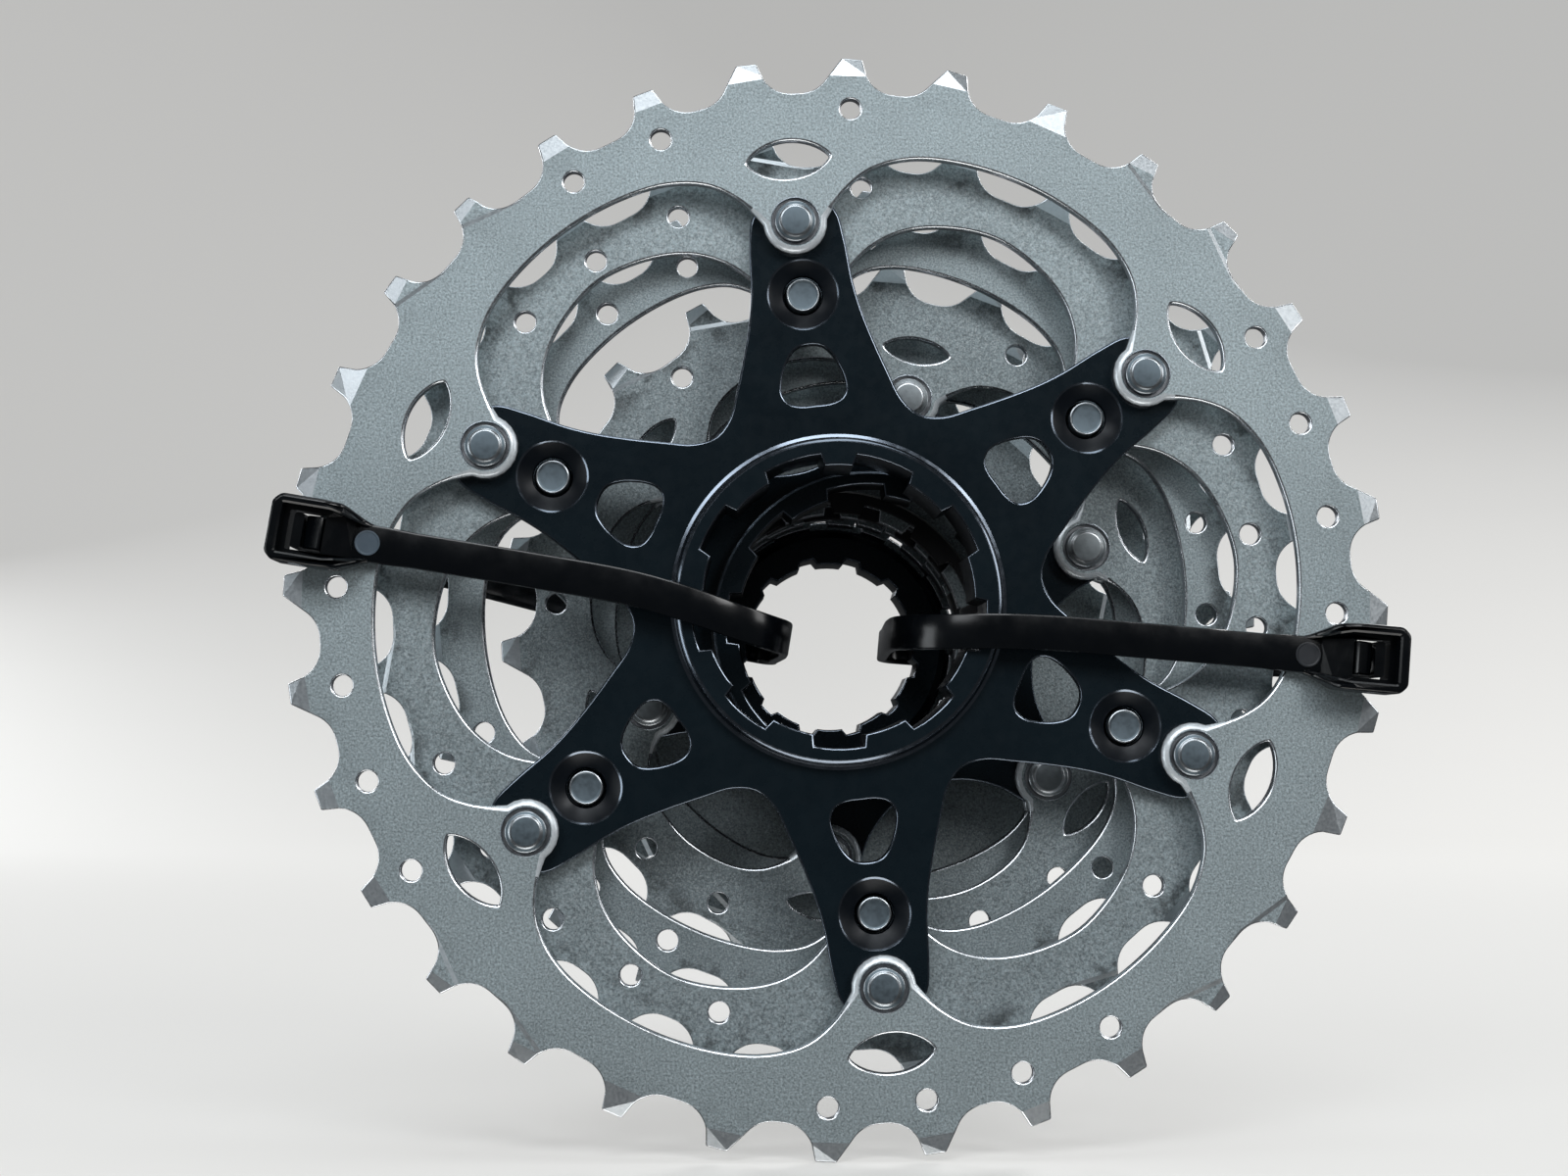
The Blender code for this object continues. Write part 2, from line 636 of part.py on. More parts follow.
ringed_sprocket(32, OUTER_RIVET_R, PAD_R, LARGE_PHASE)
ringed_sprocket(28, INNER_RIVET_R, PAD_R, LARGE_PHASE)
ringed_sprocket(25, INNER_RIVET_R, PAD_R, LARGE_PHASE)
ringed_sprocket(22, SMALL_RIVET_R, SMALL_PAD_R, SMALL_PHASE, SMALL_SHIFT)
ringed_sprocket(20, SMALL_RIVET_R, SMALL_PAD_R, SMALL_PHASE, SMALL_SHIFT)
for count, has_boss in ((18, False), (16, False), (14, False), (13, True), (12, True), (11, True)):
    splined_sprocket(count, has_boss)
for larger, smaller in ((20, 18), (18, 16), (16, 14)):
    spacer(larger, smaller)
large_carrier()
small_carrier()
rivets()
lockring()
cable_tie("cable_tie_left", TIE_LEFT)
cable_tie("cable_tie_right", TIE_RIGHT)
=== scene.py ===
"""Looks of an eleven-speed bicycle cassette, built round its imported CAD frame.

Shapes are in millimetres and degrees until a mesh is made. The cassette's axis is +Y, and an
angle is measured clockwise from +Z as seen from the wheel side: x = r sin a, z = r cos a.
"""

import math

import bmesh
import bpy
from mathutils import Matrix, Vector


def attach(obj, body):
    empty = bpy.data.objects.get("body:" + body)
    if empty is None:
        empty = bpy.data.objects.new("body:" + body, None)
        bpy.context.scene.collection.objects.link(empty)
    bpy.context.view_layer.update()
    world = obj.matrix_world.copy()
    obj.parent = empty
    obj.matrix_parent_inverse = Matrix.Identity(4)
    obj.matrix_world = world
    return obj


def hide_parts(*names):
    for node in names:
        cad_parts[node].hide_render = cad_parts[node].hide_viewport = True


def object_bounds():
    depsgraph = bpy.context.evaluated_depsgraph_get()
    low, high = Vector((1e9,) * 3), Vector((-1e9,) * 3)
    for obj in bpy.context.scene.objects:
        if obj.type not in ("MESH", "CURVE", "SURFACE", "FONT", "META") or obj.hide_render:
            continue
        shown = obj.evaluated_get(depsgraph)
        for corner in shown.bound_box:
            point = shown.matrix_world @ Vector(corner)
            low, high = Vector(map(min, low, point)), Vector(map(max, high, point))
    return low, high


MM = 0.001

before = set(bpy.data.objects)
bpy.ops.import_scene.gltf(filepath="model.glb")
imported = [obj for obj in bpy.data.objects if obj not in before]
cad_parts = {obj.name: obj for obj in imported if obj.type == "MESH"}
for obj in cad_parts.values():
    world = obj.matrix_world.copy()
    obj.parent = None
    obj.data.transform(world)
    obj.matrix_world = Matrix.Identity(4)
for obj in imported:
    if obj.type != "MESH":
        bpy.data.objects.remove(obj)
cad_box = [list(corner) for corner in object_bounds()]

# ---- sizes, as the frame has them
CHAIN_PITCH = 12.7
ROLLER_R = 3.88
SPROCKET_T = 1.6
LAYER_PITCH = 3.74
GAP = 0.25
TEETH = (32, 28, 25, 22, 20, 18, 16, 14, 13, 12, 11)
PHASES = {
    32: 1.4, 28: 3.35, 25: 5.07, 22: 4.1, 20: 10.0,
    18: 3.0, 16: 8.0, 14: 2.0, 13: 5.0, 12: 9.0, 11: 1.0,
}
SMALL_SHIFT = (4.2, -2.4)
LOOSE_SHIFT = (0.5, -3.85)
BORE_TURN = {22: 13.0, 18: 26.0, 16: 9.0, 14: 31.0, 13: 18.0, 12: 5.0, 11: 22.0}
SPACER_TURN = {18: 5.0, 16: 17.0, 14: 36.0}
KEY_TIP_R, GROOVE_R = 16.0, 17.4
KEYS, KEY_HALF, NARROW_KEY_HALF, KEY_FLANK = 9, 9.0, 6.0, 1.2

ARMS = 6
ARM_DEG = 360 / ARMS
LARGE_PHASE, SMALL_PHASE = -6.5, 10.0
OUTER_RIVET_R, INNER_RIVET_R, SMALL_RIVET_R = 45.5, 37.0, 28.6
SHANK_R, HEAD_R = 2.0, 2.8
RIVET_HOLE_R = SHANK_R + GAP
RIM = {32: 54.7, 28: 48.7, 25: 42.5, 22: 34.3, 20: 31.0}
PAD_R, SMALL_PAD_R = 3.8, 4.0
FLANK_LENGTH, LONG_EAR, FLANK_BASE, PAD_SPREAD, PAD_DIP = 4.3, 9.2, 3.0, 1.145, 0.316
HOLE_R = 1.25
HOLE_RING = {32: 58.9, 28: 50.3, 25: 45.0, 22: 38.3}
HOLE_TEETH = {
    32: (5, 6, 7, 8, 13, 14, 15, 16, 21, 22, 23, 24, 29, 30, 0),
    28: (0, 5, 6, 7, 8, 9, 10, 15, 16, 17, 18, 19, 24, 25, 26, 27),
    25: (0, 5, 6, 7, 8, 9, 14, 15, 16, 17, 22, 23, 24),
    22: (1, 2, 5, 6, 8, 9, 12, 13, 16, 17, 19, 20),
}
LENS = {32: (53.0, 4.95, 2.3), 22: (34.6, 4.0, 1.5)}

ARM_T = LAYER_PITCH - SPROCKET_T - 2 * GAP
HUB_R, HUB_LENGTH = 19.4, 10.0
LARGE_ARM = (
    (49.0, 0), (48.6, 3.8), (47.0, 6.2), (43.5, 7.6), (38.5, 9.2), (35.3, 11.0), (31.7, 14.2),
    (28.1, 18.9), (25.4, 24.0), (24.4, 30.0),
)
WINDOW = ((30.9, 0.0), (30.6, 3.0), (29.0, 5.9), (25.9, 8.6), (24.4, 7.6), (23.7, 4.2), (23.6, 0.0))
SMALL_ARM = (
    (32.4, 0), (31.6, 4.4), (29.2, 7.7), (25.6, 10.6), (22.6, 16.5), (21.2, 23.5), (20.8, 30.0),
)
SMALL_HUB_R = 19.0
BOSS_R, SPACER_R = 18.2, 18.8

NOTCHES = 12
NOTCH_R, NOTCH_TIP_R, FLANGE_R, THREAD_R = 11.8, 11.0, 17.2, 15.3
FLANGE_T, THREAD_LENGTH, WASHER_T = 2.0, 6.0, 0.5

STRAP_W, STRAP_T = 4.15, 1.2
TIES = {
    "cable_tie_left": {"foot": (-0.585, -2.38), "towards": 279.2, "reach": -0.9, "droop": -2.5},
    "cable_tie_right": {"foot": (-0.05, -1.69), "towards": 94.9, "reach": 1.35, "droop": 1.1},
}
TIE_ROUTE = (
    (60.0, -1.1, 0.0, 0.0), (50.0, -1.05, 0.0, 0.0), (36.0, -1.0, 0.0, 0.0), (24.0, -0.95, 0.0, 0.08),
    (17.5, -0.9, 0.3, 0.4), (12.0, 0.3, 0.8, 0.8), (8.2, 3.4, 1.0, 1.0), (6.3, 8.5, 1.0, 1.0),
    (5.9, 16.0, 1.0, 1.0), (6.2, 26.0, 1.0, 1.0), (6.6, 35.0, 1.0, 1.0), (6.9, 41.0, 1.0, 1.0),
    (8.2, 43.5, 1.0, 1.0), (11.2, 44.5, 0.5, 0.94), (15.0, 44.0, 0.0, 0.87), (19.5, 42.5, 0.0, 0.79),
    (24.9, 39.7, 0.0, 0.69), (43.8, 21.2, 0.0, 0.33), (60.9, 4.6, 0.0, 0.0), (62.7, 1.0, 0.0, 0.0),
    (63.0, -2.0, 0.0, 0.0), (63.0, -4.0, 0.0, 0.0),
)
TIE_NEAR, TIE_FAR = -5.7, -0.35
STRAP_CORNER, STRAP_EASE, STRAP_STEP = 0.3, 0.03, 0.65
FLARE_FROM, FLARE_LENGTH, FLARE = 50.0, 3.0, 0.12
RATCHET_FROM, RATCHET_TO = 30, 168
RATCHET_HALF, RATCHET_LIP, RATCHET_DEPTH = 1.2, 0.15, 0.22
# Shapes of a tie's head as (distance out, half width), and its near face as (distance out, depth).
HEAD = (
    (54.45, 2.15), (55.6, 2.5), (56.9, 3.15), (58.1, 3.8), (60.5, 3.92), (65.2, 3.92), (66.15, 3.0),
)
CHANNEL = ((54.75, 1.7), (56.8, 2.2), (58.2, 2.6), (59.4, 2.85), (64.9, 2.85))
SLOT = ((60.0, 2.3), (64.2, 2.3))
PAWL = ((60.15, 1.95), (62.2, 1.95))
HEAD_TOP = (
    (54.9, -1.62), (55.8, -1.9), (56.5, -2.7), (57.3, -3.9), (58.2, -4.9), (59.2, -5.5),
    (60.0, TIE_NEAR),
)

# ---- details that the frame leaves plain
# Each side of a tooth: how far its roller seat is moved towards the tooth, and where the seat ends,
# in degrees. Then come the tip's ends, and the facets of the near face. A facet starts at a line
# that crosses the tooth at a height above the root, with a slope sideways. From there it falls away
# by `fall` for each millimetre, to `deepest` at most. Facets add up.
STEEP, SLOPED = (1.0, 62), (0.05, 52)
TOOTH_KINDS = {
    0: (SLOPED, -1.15, 1.3, ((1.95, 0.0, 0.20, 9), (3.4, -0.70, 0.25, 9))),
    1: (SLOPED, -1.15, 1.3, ((2.05, 0.0, 0.18, 9), (3.25, -0.75, 0.32, 9))),
    2: (STEEP, -1.2, 1.3, ((0.95, 0.0, 0.22, 9), (3.2, 0.79, 0.22, 9))),
    3: (STEEP, -1.2, 1.25, ((1.1, -0.34, 0.70, 0.42), (2.45, 0.16, 0.34, 9))),
    4: (STEEP, -1.2, 1.25, ((1.1, -0.34, 0.70, 0.42), (2.85, 0.20, 0.40, 9))),
    5: (STEEP, -1.2, 1.25, ((1.9, 0.0, 0.36, 9),)),
    6: (STEEP, -1.2, 1.3, ((2.1, 0.0, 0.36, 9),)),
    7: (SLOPED, -1.15, 1.3, ((2.1, 0.0, 0.16, 9), (3.6, -0.6, 0.22, 9))),
}
FAR_FACETS = ((2.6, 0.0, 0.16, 9),)
DEEPEST_CUT = 1.05
FACETS_END, FACETS_FADE = 4.2, 1.0
PATTERN = 8
SEAT_STEPS = 7
ROOT_BAND, ROOT_STEPS = 0.25, 6
LEVEL, STEPPED = 0.998, 0.78
TOOTH_BEVEL = 0.13
EDGE_BEVEL = 0.28
PAD_BEVEL = 0.72
PAD_BEVEL_FADE = 2.4
WIDE_BEVEL = 0.45
HOLE_BEVEL = 0.16
BEVEL_STEPS = 3
SHARP_ANGLE = math.radians(38)
RIVET_SIDES = 48
RECESS_DEPTH = 0.5
TIP_RISE, TIP_EXTRA, TALL_BELOW = 0.4, 0.5, 20
RAMPS_ABOVE = 13
RAMP_BELOW_ROOT, RAMP_HALF_LENGTH, RAMP_HALF_WIDTH, RAMP_LEAN, RAMP_SIDES = 1.9, 4.6, 1.05, 0.14, 28
RAMP_DEPTH, RAMP_WALL, RAMP_TO_HOLE = 0.4, 0.25, 0.95


# ---- outlines
def polar(radius, angle):
    """The point (x, z) at a radius and an angle in degrees."""
    a = math.radians(angle)
    return (radius * math.sin(a), radius * math.cos(a))


def around(angle, offset, outward):
    """The point `offset` along the tangent and `outward` along the radius at an angle."""
    s, c = math.sin(math.radians(angle)), math.cos(math.radians(angle))
    return (outward * s + offset * c, outward * c - offset * s)


def local(angle, point):
    """The offset and outward distance of a point, the reverse of around()."""
    s, c = math.sin(math.radians(angle)), math.cos(math.radians(angle))
    return (point[0] * c - point[1] * s, point[0] * s + point[1] * c)


def circle(radius, sides, centre=(0.0, 0.0)):
    points = [polar(radius, 360 * i / sides) for i in range(sides)]
    return [(centre[0] + x, centre[1] + z) for x, z in points]


def arc(radius, first, last, steps):
    return [polar(radius, first + (last - first) * i / steps) for i in range(steps + 1)]


def spline_point(p0, p1, p2, p3, share):
    """A point between p1 and p2 on the centripetal Catmull-Rom curve through four points."""
    t1 = max(math.dist(p0, p1), 1e-6) ** 0.5
    t2 = t1 + max(math.dist(p1, p2), 1e-6) ** 0.5
    t3 = t2 + max(math.dist(p2, p3), 1e-6) ** 0.5
    t = t1 + (t2 - t1) * share

    def mix(a, b, ta, tb):
        return [(tb - t) / (tb - ta) * u + (t - ta) / (tb - ta) * v for u, v in zip(a, b)]

    a1, a2, a3 = mix(p0, p1, 0.0, t1), mix(p1, p2, t1, t2), mix(p2, p3, t2, t3)
    return tuple(mix(mix(a1, a2, 0.0, t2), mix(a2, a3, t1, t3), t1, t2))


def smooth_closed(points, spacing):
    """A smooth closed curve through points, with about `spacing` between its own points."""
    n, curve = len(points), []
    for i in range(n):
        p0, p1, p2, p3 = (points[(i + k) % n] for k in (-1, 0, 1, 2))
        steps = max(1, round(math.dist(p1, p2) / spacing))
        curve += [spline_point(p0, p1, p2, p3, k / steps) for k in range(steps)]
    return curve


def pitch_radius(teeth):
    return CHAIN_PITCH / (2 * math.sin(math.pi / teeth))


def tip_radius(teeth):
    """Tips stand a little above the pitch circle, and further on the smallest sprockets."""
    smaller = max(0, TALL_BELOW - teeth) / (TALL_BELOW - TEETH[-1])
    return pitch_radius(teeth) + TIP_RISE + TIP_EXTRA * smaller


def rivet_angles(phase):
    return [phase + i * ARM_DEG for i in range(ARMS)]


def splines(turn=0.0):
    """The bore: nine keys point inwards, and one of them is narrower."""
    points = []
    for i in range(KEYS):
        middle = turn + i * 360 / KEYS
        half = NARROW_KEY_HALF if i == 0 else KEY_HALF
        last = KEY_HALF if i < KEYS - 1 else NARROW_KEY_HALF
        points += arc(KEY_TIP_R, middle - half, middle + half, 5)
        following = middle + 360 / KEYS - last - KEY_FLANK
        points += arc(GROOVE_R, middle + half + KEY_FLANK, following, 5)
    return points


def eared_rim(teeth, ear_r, pad_r, phase):
    """Inner outline of a ringed sprocket: an arc that runs in to a round pad at each rivet."""
    rim = RIM[teeth]
    reach = (rim - ear_r + FLANK_BASE) / (LONG_EAR + FLANK_BASE)
    flank = math.degrees(FLANK_LENGTH * reach / ear_r)
    start = math.degrees(pad_r * PAD_SPREAD / ear_r)
    half = []
    for k in range(6):
        away = start + (ARM_DEG / 2 - start) * (k / 5) ** 1.7
        drop = (rim - ear_r - PAD_DIP * pad_r) * math.exp(-(away - start) / flank)
        half.append((rim - drop, away))
    points = []
    for ear in rivet_angles(phase):
        points += [polar(r, ear - a) for r, a in reversed(half[:-1])]
        for turn in range(-90, 91, 15):
            a = math.radians(turn)
            points.append(around(ear, pad_r * math.sin(a), ear_r - pad_r * math.cos(a)))
        points += [polar(r, ear + a) for r, a in half]
    return smooth_closed(points, 1.0)


def star(arm, phase):
    """Outer outline of a carrier, from one arm's half outline."""
    points = []
    for angle in rivet_angles(phase):
        half = [(r, a) for r, a in arm if a < ARM_DEG / 2]
        points += [polar(r, angle - a) for r, a in reversed(half) if a]
        points += [polar(r, angle + a) for r, a in half]
        points.append(polar(arm[-1][0], angle + ARM_DEG / 2))
    return smooth_closed(points, 0.9)


def arm_window(angle):
    half = [polar(r, angle - a) for r, a in WINDOW]
    other = [polar(r, angle + a) for r, a in reversed(WINDOW) if a]
    return smooth_closed(half + other, 0.5)


def lens(teeth, angle, sides=40, roundness=1.5):
    """An oval window with nearly pointed ends, its long way along the rim."""
    ring_r, half_length, half_width = LENS[teeth]
    points = []
    for i in range(sides):
        a = 2 * math.pi * i / sides
        width = half_width * abs(math.sin(a)) ** roundness * (1 if math.sin(a) > 0 else -1)
        points.append(around(angle, -half_length * math.cos(a), ring_r + width))
    return points


def ramp_pocket(teeth, angle):
    """The pressed shift ramp on a far face: a leaning bean under the teeth."""
    root = pitch_radius(teeth) - ROLLER_R
    middle = root - RAMP_BELOW_ROOT
    points = []
    for i in range(RAMP_SIDES):
        a = 2 * math.pi * i / RAMP_SIDES
        along, across = RAMP_HALF_LENGTH * math.cos(a), RAMP_HALF_WIDTH * math.sin(a)
        turn = math.degrees(along / middle)
        points.append(around(angle + turn, 0.0, middle + across + RAMP_LEAN * along))
    return points


def smooth_corners(points, size):
    """Cuts every corner of an outline with a short arc of about `size`."""
    rounded = []
    for i, corner in enumerate(points):
        before, after = Vector(points[i - 1]), Vector(points[(i + 1) % len(points)])
        middle = Vector(corner)
        back, on = before - middle, after - middle
        a = middle + back.normalized() * min(size, back.length * 0.45)
        b = middle + on.normalized() * min(size, on.length * 0.45)
        for share in (0.0, 0.25, 0.5, 0.75, 1.0):
            p = a.lerp(middle, share).lerp(middle.lerp(b, share), share)
            rounded.append((p.x, p.y))
    return rounded


def into_material(points, amounts, hole):
    """Moves a closed outline off its edge, towards the material."""
    area = sum(p[0] * q[1] - q[0] * p[1] for p, q in zip(points, points[1:] + points[:1]))
    sign = (1 if area > 0 else -1) * (1 if hole else -1)
    moved = []
    for i, point in enumerate(points):
        before, after = points[i - 1], points[(i + 1) % len(points)]
        one = Vector((point[1] - before[1], before[0] - point[0])).normalized()
        two = Vector((after[1] - point[1], point[0] - after[0])).normalized()
        normal = (one + two).normalized() if (one + two).length > 1e-6 else one
        reach = sign * amounts[i] / max(0.6, normal.dot(one))
        moved.append((point[0] + normal.x * reach, point[1] + normal.y * reach))
    return moved


# ---- mesh building
# The material slots of a piece; only the sprockets have the last two. The last is for the pads' wide
# bevels: bare metal given a pale tone that paints in their bright highlight.
FACE, EDGE, WALL, FACET, PAINTED_HIGHLIGHT_SLOT = 0, 1, 2, 3, 4


class Piece:
    """A closed mesh, put together from rings of points, bands between them and flat fills."""

    def __init__(self):
        self.mesh = bmesh.new()

    def ring(self, points, depth):
        """Points at one depth (y), or each at its own."""
        depths = depth if isinstance(depth, list) else [depth] * len(points)
        return [self.mesh.verts.new((x * MM, y * MM, z * MM)) for (x, z), y in zip(points, depths)]

    def band(self, a, b, finish):
        for i in range(len(a)):
            face = self.mesh.faces.new((a[i - 1], a[i], b[i], b[i - 1]))
            face.material_index = finish[i] if isinstance(finish, list) else finish
            face.smooth = True

    def fill(self, finish, *rings):
        """Flat area between rings: the outer one and its holes."""
        edges = []
        for ring in rings:
            for pair in zip([ring[-1]] + ring[:-1], ring):
                edges.append(self.mesh.edges.get(pair) or self.mesh.edges.new(pair))
        made = bmesh.ops.triangle_fill(self.mesh, use_beauty=True, edges=edges, normal=(0, 1, 0))
        for face in made["geom"]:
            if isinstance(face, bmesh.types.BMFace):
                face.material_index = finish
                face.smooth = False

    def sweep(self, rings, finishes):
        """Bands through a series of rings; returns the first and last."""
        for k, (a, b) in enumerate(zip(rings, rings[1:])):
            self.band(a, b, finishes[k] if isinstance(finishes, (list, tuple)) else finishes)
        return rings[0], rings[-1]

    def turned(self, profile, sides, finishes, centre=(0.0, 0.0)):
        """Rings about Y through a profile of (radius, y)."""
        rings = [self.ring(circle(r, sides, centre), y) for r, y in profile]
        return self.sweep(rings, finishes)

    def edge(self, points, near, far, bevel=EDGE_BEVEL, hole=True, far_bevel=None):
        """The edge of a plate, rounded at both faces; returns its rings on the two faces."""
        sizes = bevel if isinstance(bevel, list) else [bevel] * len(points)
        far_sizes = [min(s, far_bevel or s) for s in sizes]
        rings = []
        for side, amounts in ((near, sizes), (far, far_sizes)):
            inwards = 1 if far > near else -1
            half = []
            for k in range(BEVEL_STEPS + 1):
                a = math.pi / 2 * k / BEVEL_STEPS
                moved = into_material(points, [s * (1 - math.sin(a)) for s in amounts], hole)
                sign = inwards if side == near else -inwards
                half.append(self.ring(moved, [side + sign * s * (1 - math.cos(a)) for s in amounts]))
            rings += half if side == near else half[::-1]
        # Wide bevels, round the rivet pads, take the pale slot, whose colour paints in a highlight.
        near_bevel = [PAINTED_HIGHLIGHT_SLOT if s > WIDE_BEVEL else EDGE for s in sizes]
        finishes = [near_bevel] * BEVEL_STEPS + [WALL] + [EDGE] * BEVEL_STEPS
        return self.sweep(rings, finishes)

    def plate(self, pairs, far_only=()):
        """The faces of a plate, from pairs of rings; `far_only` are holes in the far face alone."""
        self.fill(FACE, *[near for near, _ in pairs])
        self.fill(FACE, *[far for _, far in pairs], *far_only)

    def finished(self, name, finishes):
        """The piece as mesh data, its corners kept sharp."""
        bmesh.ops.recalc_face_normals(self.mesh, faces=self.mesh.faces)
        for edge in self.mesh.edges:
            if len(edge.link_faces) == 2 and edge.calc_face_angle() > SHARP_ANGLE:
                edge.smooth = False
        data = bpy.data.meshes.new(name)
        self.mesh.to_mesh(data)
        self.mesh.free()
        for finish in finishes:
            data.materials.append(finish)
        return data

    def show(self, name, body, nodes, finishes):
        """Makes the mesh an object that rides on a body and stands for CAD nodes."""
        put(name, self.finished(name, finishes), body, nodes)


def put(name, data, body, nodes, at=(0.0, 0.0)):
    """Puts a mesh on a body, moved as that body's pieces are by the ties."""
    shift = (0.0, 0.0) if body == "large_cluster" else LOOSE_SHIFT
    if body == "small_cluster":
        shift = SMALL_SHIFT
    made = bpy.data.objects.new(name, data)
    made.location = ((at[0] + shift[0]) * MM, 0.0, (at[1] + shift[1]) * MM)
    bpy.context.scene.collection.objects.link(made)
    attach(made, body)
    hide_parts(*nodes)


# ---- materials
class Finish:
    """A procedural material; every texture reads the piece's own coordinates, in metres."""

    def __init__(self, name, metallic, ior_level=0.5):
        self.material = bpy.data.materials.new(name)
        self.material.use_nodes = True
        self.tree = self.material.node_tree
        self.shader = self.tree.nodes["Principled BSDF"]
        self.shader.inputs["Metallic"].default_value = metallic
        self.shader.inputs["Specular IOR Level"].default_value = ior_level
        self.place = self.node("ShaderNodeTexCoord").outputs["Object"]

    def node(self, kind, **settings):
        made = self.tree.nodes.new(kind)
        for name, value in settings.items():
            setattr(made, name, value)
        return made

    def link(self, source, target):
        self.tree.links.new(source, target)

    def noise(self, scale, detail=2.0, roughness=0.5, stretch=(1, 1, 1)):
        mapping = self.node("ShaderNodeMapping")
        mapping.inputs["Scale"].default_value = stretch
        self.link(self.place, mapping.inputs["Vector"])
        made = self.node("ShaderNodeTexNoise")
        self.link(mapping.outputs["Vector"], made.inputs["Vector"])
        made.inputs["Scale"].default_value = scale
        made.inputs["Detail"].default_value = detail
        made.inputs["Roughness"].default_value = roughness
        return made.outputs["Fac"]

    def radius(self):
        """Distance from the cassette's axis, in millimetres."""
        flat = self.node("ShaderNodeVectorMath", operation="MULTIPLY")
        flat.inputs[1].default_value = (1 / MM, 0.0, 1 / MM)
        self.link(self.place, flat.inputs[0])
        length = self.node("ShaderNodeVectorMath", operation="LENGTH")
        self.link(flat.outputs["Vector"], length.inputs[0])
        return length.outputs["Value"]

    def spread(self, value, low, high, to_low=0.0, to_high=1.0, smooth=False):
        made = self.node("ShaderNodeMapRange")
        made.interpolation_type = "SMOOTHSTEP" if smooth else "LINEAR"
        self.link(value, made.inputs["Value"])
        ends = {"From Min": low, "From Max": high, "To Min": to_low, "To Max": to_high}
        for name, number in ends.items():
            made.inputs[name].default_value = number
        return made.outputs["Result"]

    def times(self, a, b):
        made = self.node("ShaderNodeMath", operation="MULTIPLY")
        self.link(a, made.inputs[0])
        self.link(b, made.inputs[1])
        return made.outputs["Value"]

    def mix(self, share, a, b):
        """A colour between a and b, each a colour or a socket."""
        made = self.node("ShaderNodeMix", data_type="RGBA")
        self.link(share, made.inputs["Factor"])
        for name, value in (("A", a), ("B", b)):
            socket = next(s for s in made.inputs if s.name == name and s.type == "RGBA")
            if isinstance(value, tuple):
                socket.default_value = (*value, 1)
            else:
                self.link(value, socket)
        return next(s for s in made.outputs if s.type == "RGBA")

    def colour(self, socket):
        self.link(socket, self.shader.inputs["Base Color"])

    def rough(self, socket):
        self.link(socket, self.shader.inputs["Roughness"])

    def bump(self, height, strength, distance):
        made = self.node("ShaderNodeBump")
        made.inputs["Strength"].default_value = strength
        made.inputs["Distance"].default_value = distance * MM
        self.link(height, made.inputs["Height"])
        self.link(made.outputs["Normal"], self.shader.inputs["Normal"])


def blasted_steel(name, tone, dirt, root):
    """Matte bead-blasted plating with fine bright grain, and oily dirt near the tooth roots."""
    made = Finish(name, metallic=0.75)
    grain = made.noise(3600, 3, 0.7)
    cloud = made.noise(55, 4, 0.6)
    dark, light = (tuple(c * tone * k for c in (0.85, 1.0, 1.05)) for k in (0.54, 1.26))
    base = made.mix(made.spread(grain, 0.34, 0.66), dark, light)
    base = made.mix(made.spread(cloud, 0.35, 0.7, 0.0, 0.28), base, tuple(c * 0.75 for c in dark))
    glint = made.spread(made.noise(5200, 1, 0.5), 0.50, 0.74, 0.0, 0.42)
    base = made.mix(glint, base, (0.80, 0.86, 0.88))
    near_root = made.spread(made.radius(), root - 2.4, root + 0.4, 0.0, 1.0, smooth=True)
    smudge = made.spread(made.noise(190, 8, 0.66), 0.47, 0.60, smooth=True)
    share = made.spread(made.times(near_root, smudge), 0.0, 1.0, 0.0, dirt)
    base = made.mix(share, base, (0.018, 0.017, 0.016))
    made.colour(base)
    made.rough(made.spread(grain, 0.3, 0.7, 0.48, 0.62))
    made.bump(grain, 0.8, 0.04)
    return made.material


def speckled(name, metallic, dark, light, low, high, scale, strength, cloud=None, level=0.5):
    """A finish whose roughness follows a fine noise; its tone does too, or follows a coarser `cloud`."""
    made = Finish(name, metallic, level)
    fine = made.noise(scale, 3, 0.6)
    tone = made.noise(cloud, 4, 0.6) if cloud else fine
    made.colour(made.mix(made.spread(tone, 0.3, 0.7), dark, light))
    made.rough(made.spread(fine, 0.3, 0.7, low, high))
    made.bump(fine, strength, 0.02)
    return made.material


def pressed_steel(name, tone, metallic=0.9):
    """Pressed steel for tooth facets and the pads' wide bevels, smoother than the faces' plating. The
    pads' copy is pale and less metallic, which paints in their bright highlight; the darker copy for the
    rings behind the largest is painted shade.
    """
    dark = tuple(c * tone * 0.86 for c in (0.92, 1.0, 1.05))
    light = tuple(c * tone for c in (0.94, 1.0, 1.04))
    return speckled(name, metallic, dark, light, 0.30, 0.42, 3000, 0.3)


def polished(name, colour, low, high, scale=900):
    """Bare cut or peened metal: tone, roughness and a faint drag vary along it."""
    return speckled(name, 1.0, tuple(c * 0.8 for c in colour), colour, low, high, scale, 0.15)


def glossy_black(name, dark, light, low, high, metallic, level, grain=700):
    return speckled(name, metallic, dark, light, low, high, grain, 0.10, cloud=120, level=level)


def pale_paper():
    """The studio's floor and wall, which glow a little so that they are pale all round."""
    made = Finish("pale_paper", metallic=0.0, ior_level=0.1)
    made.shader.inputs["Base Color"].default_value = (0.52, 0.515, 0.50, 1)
    made.shader.inputs["Roughness"].default_value = 0.8
    made.shader.inputs["Emission Color"].default_value = (1.0, 0.99, 0.97, 1)
    made.shader.inputs["Emission Strength"].default_value = 0.30
    return made.material
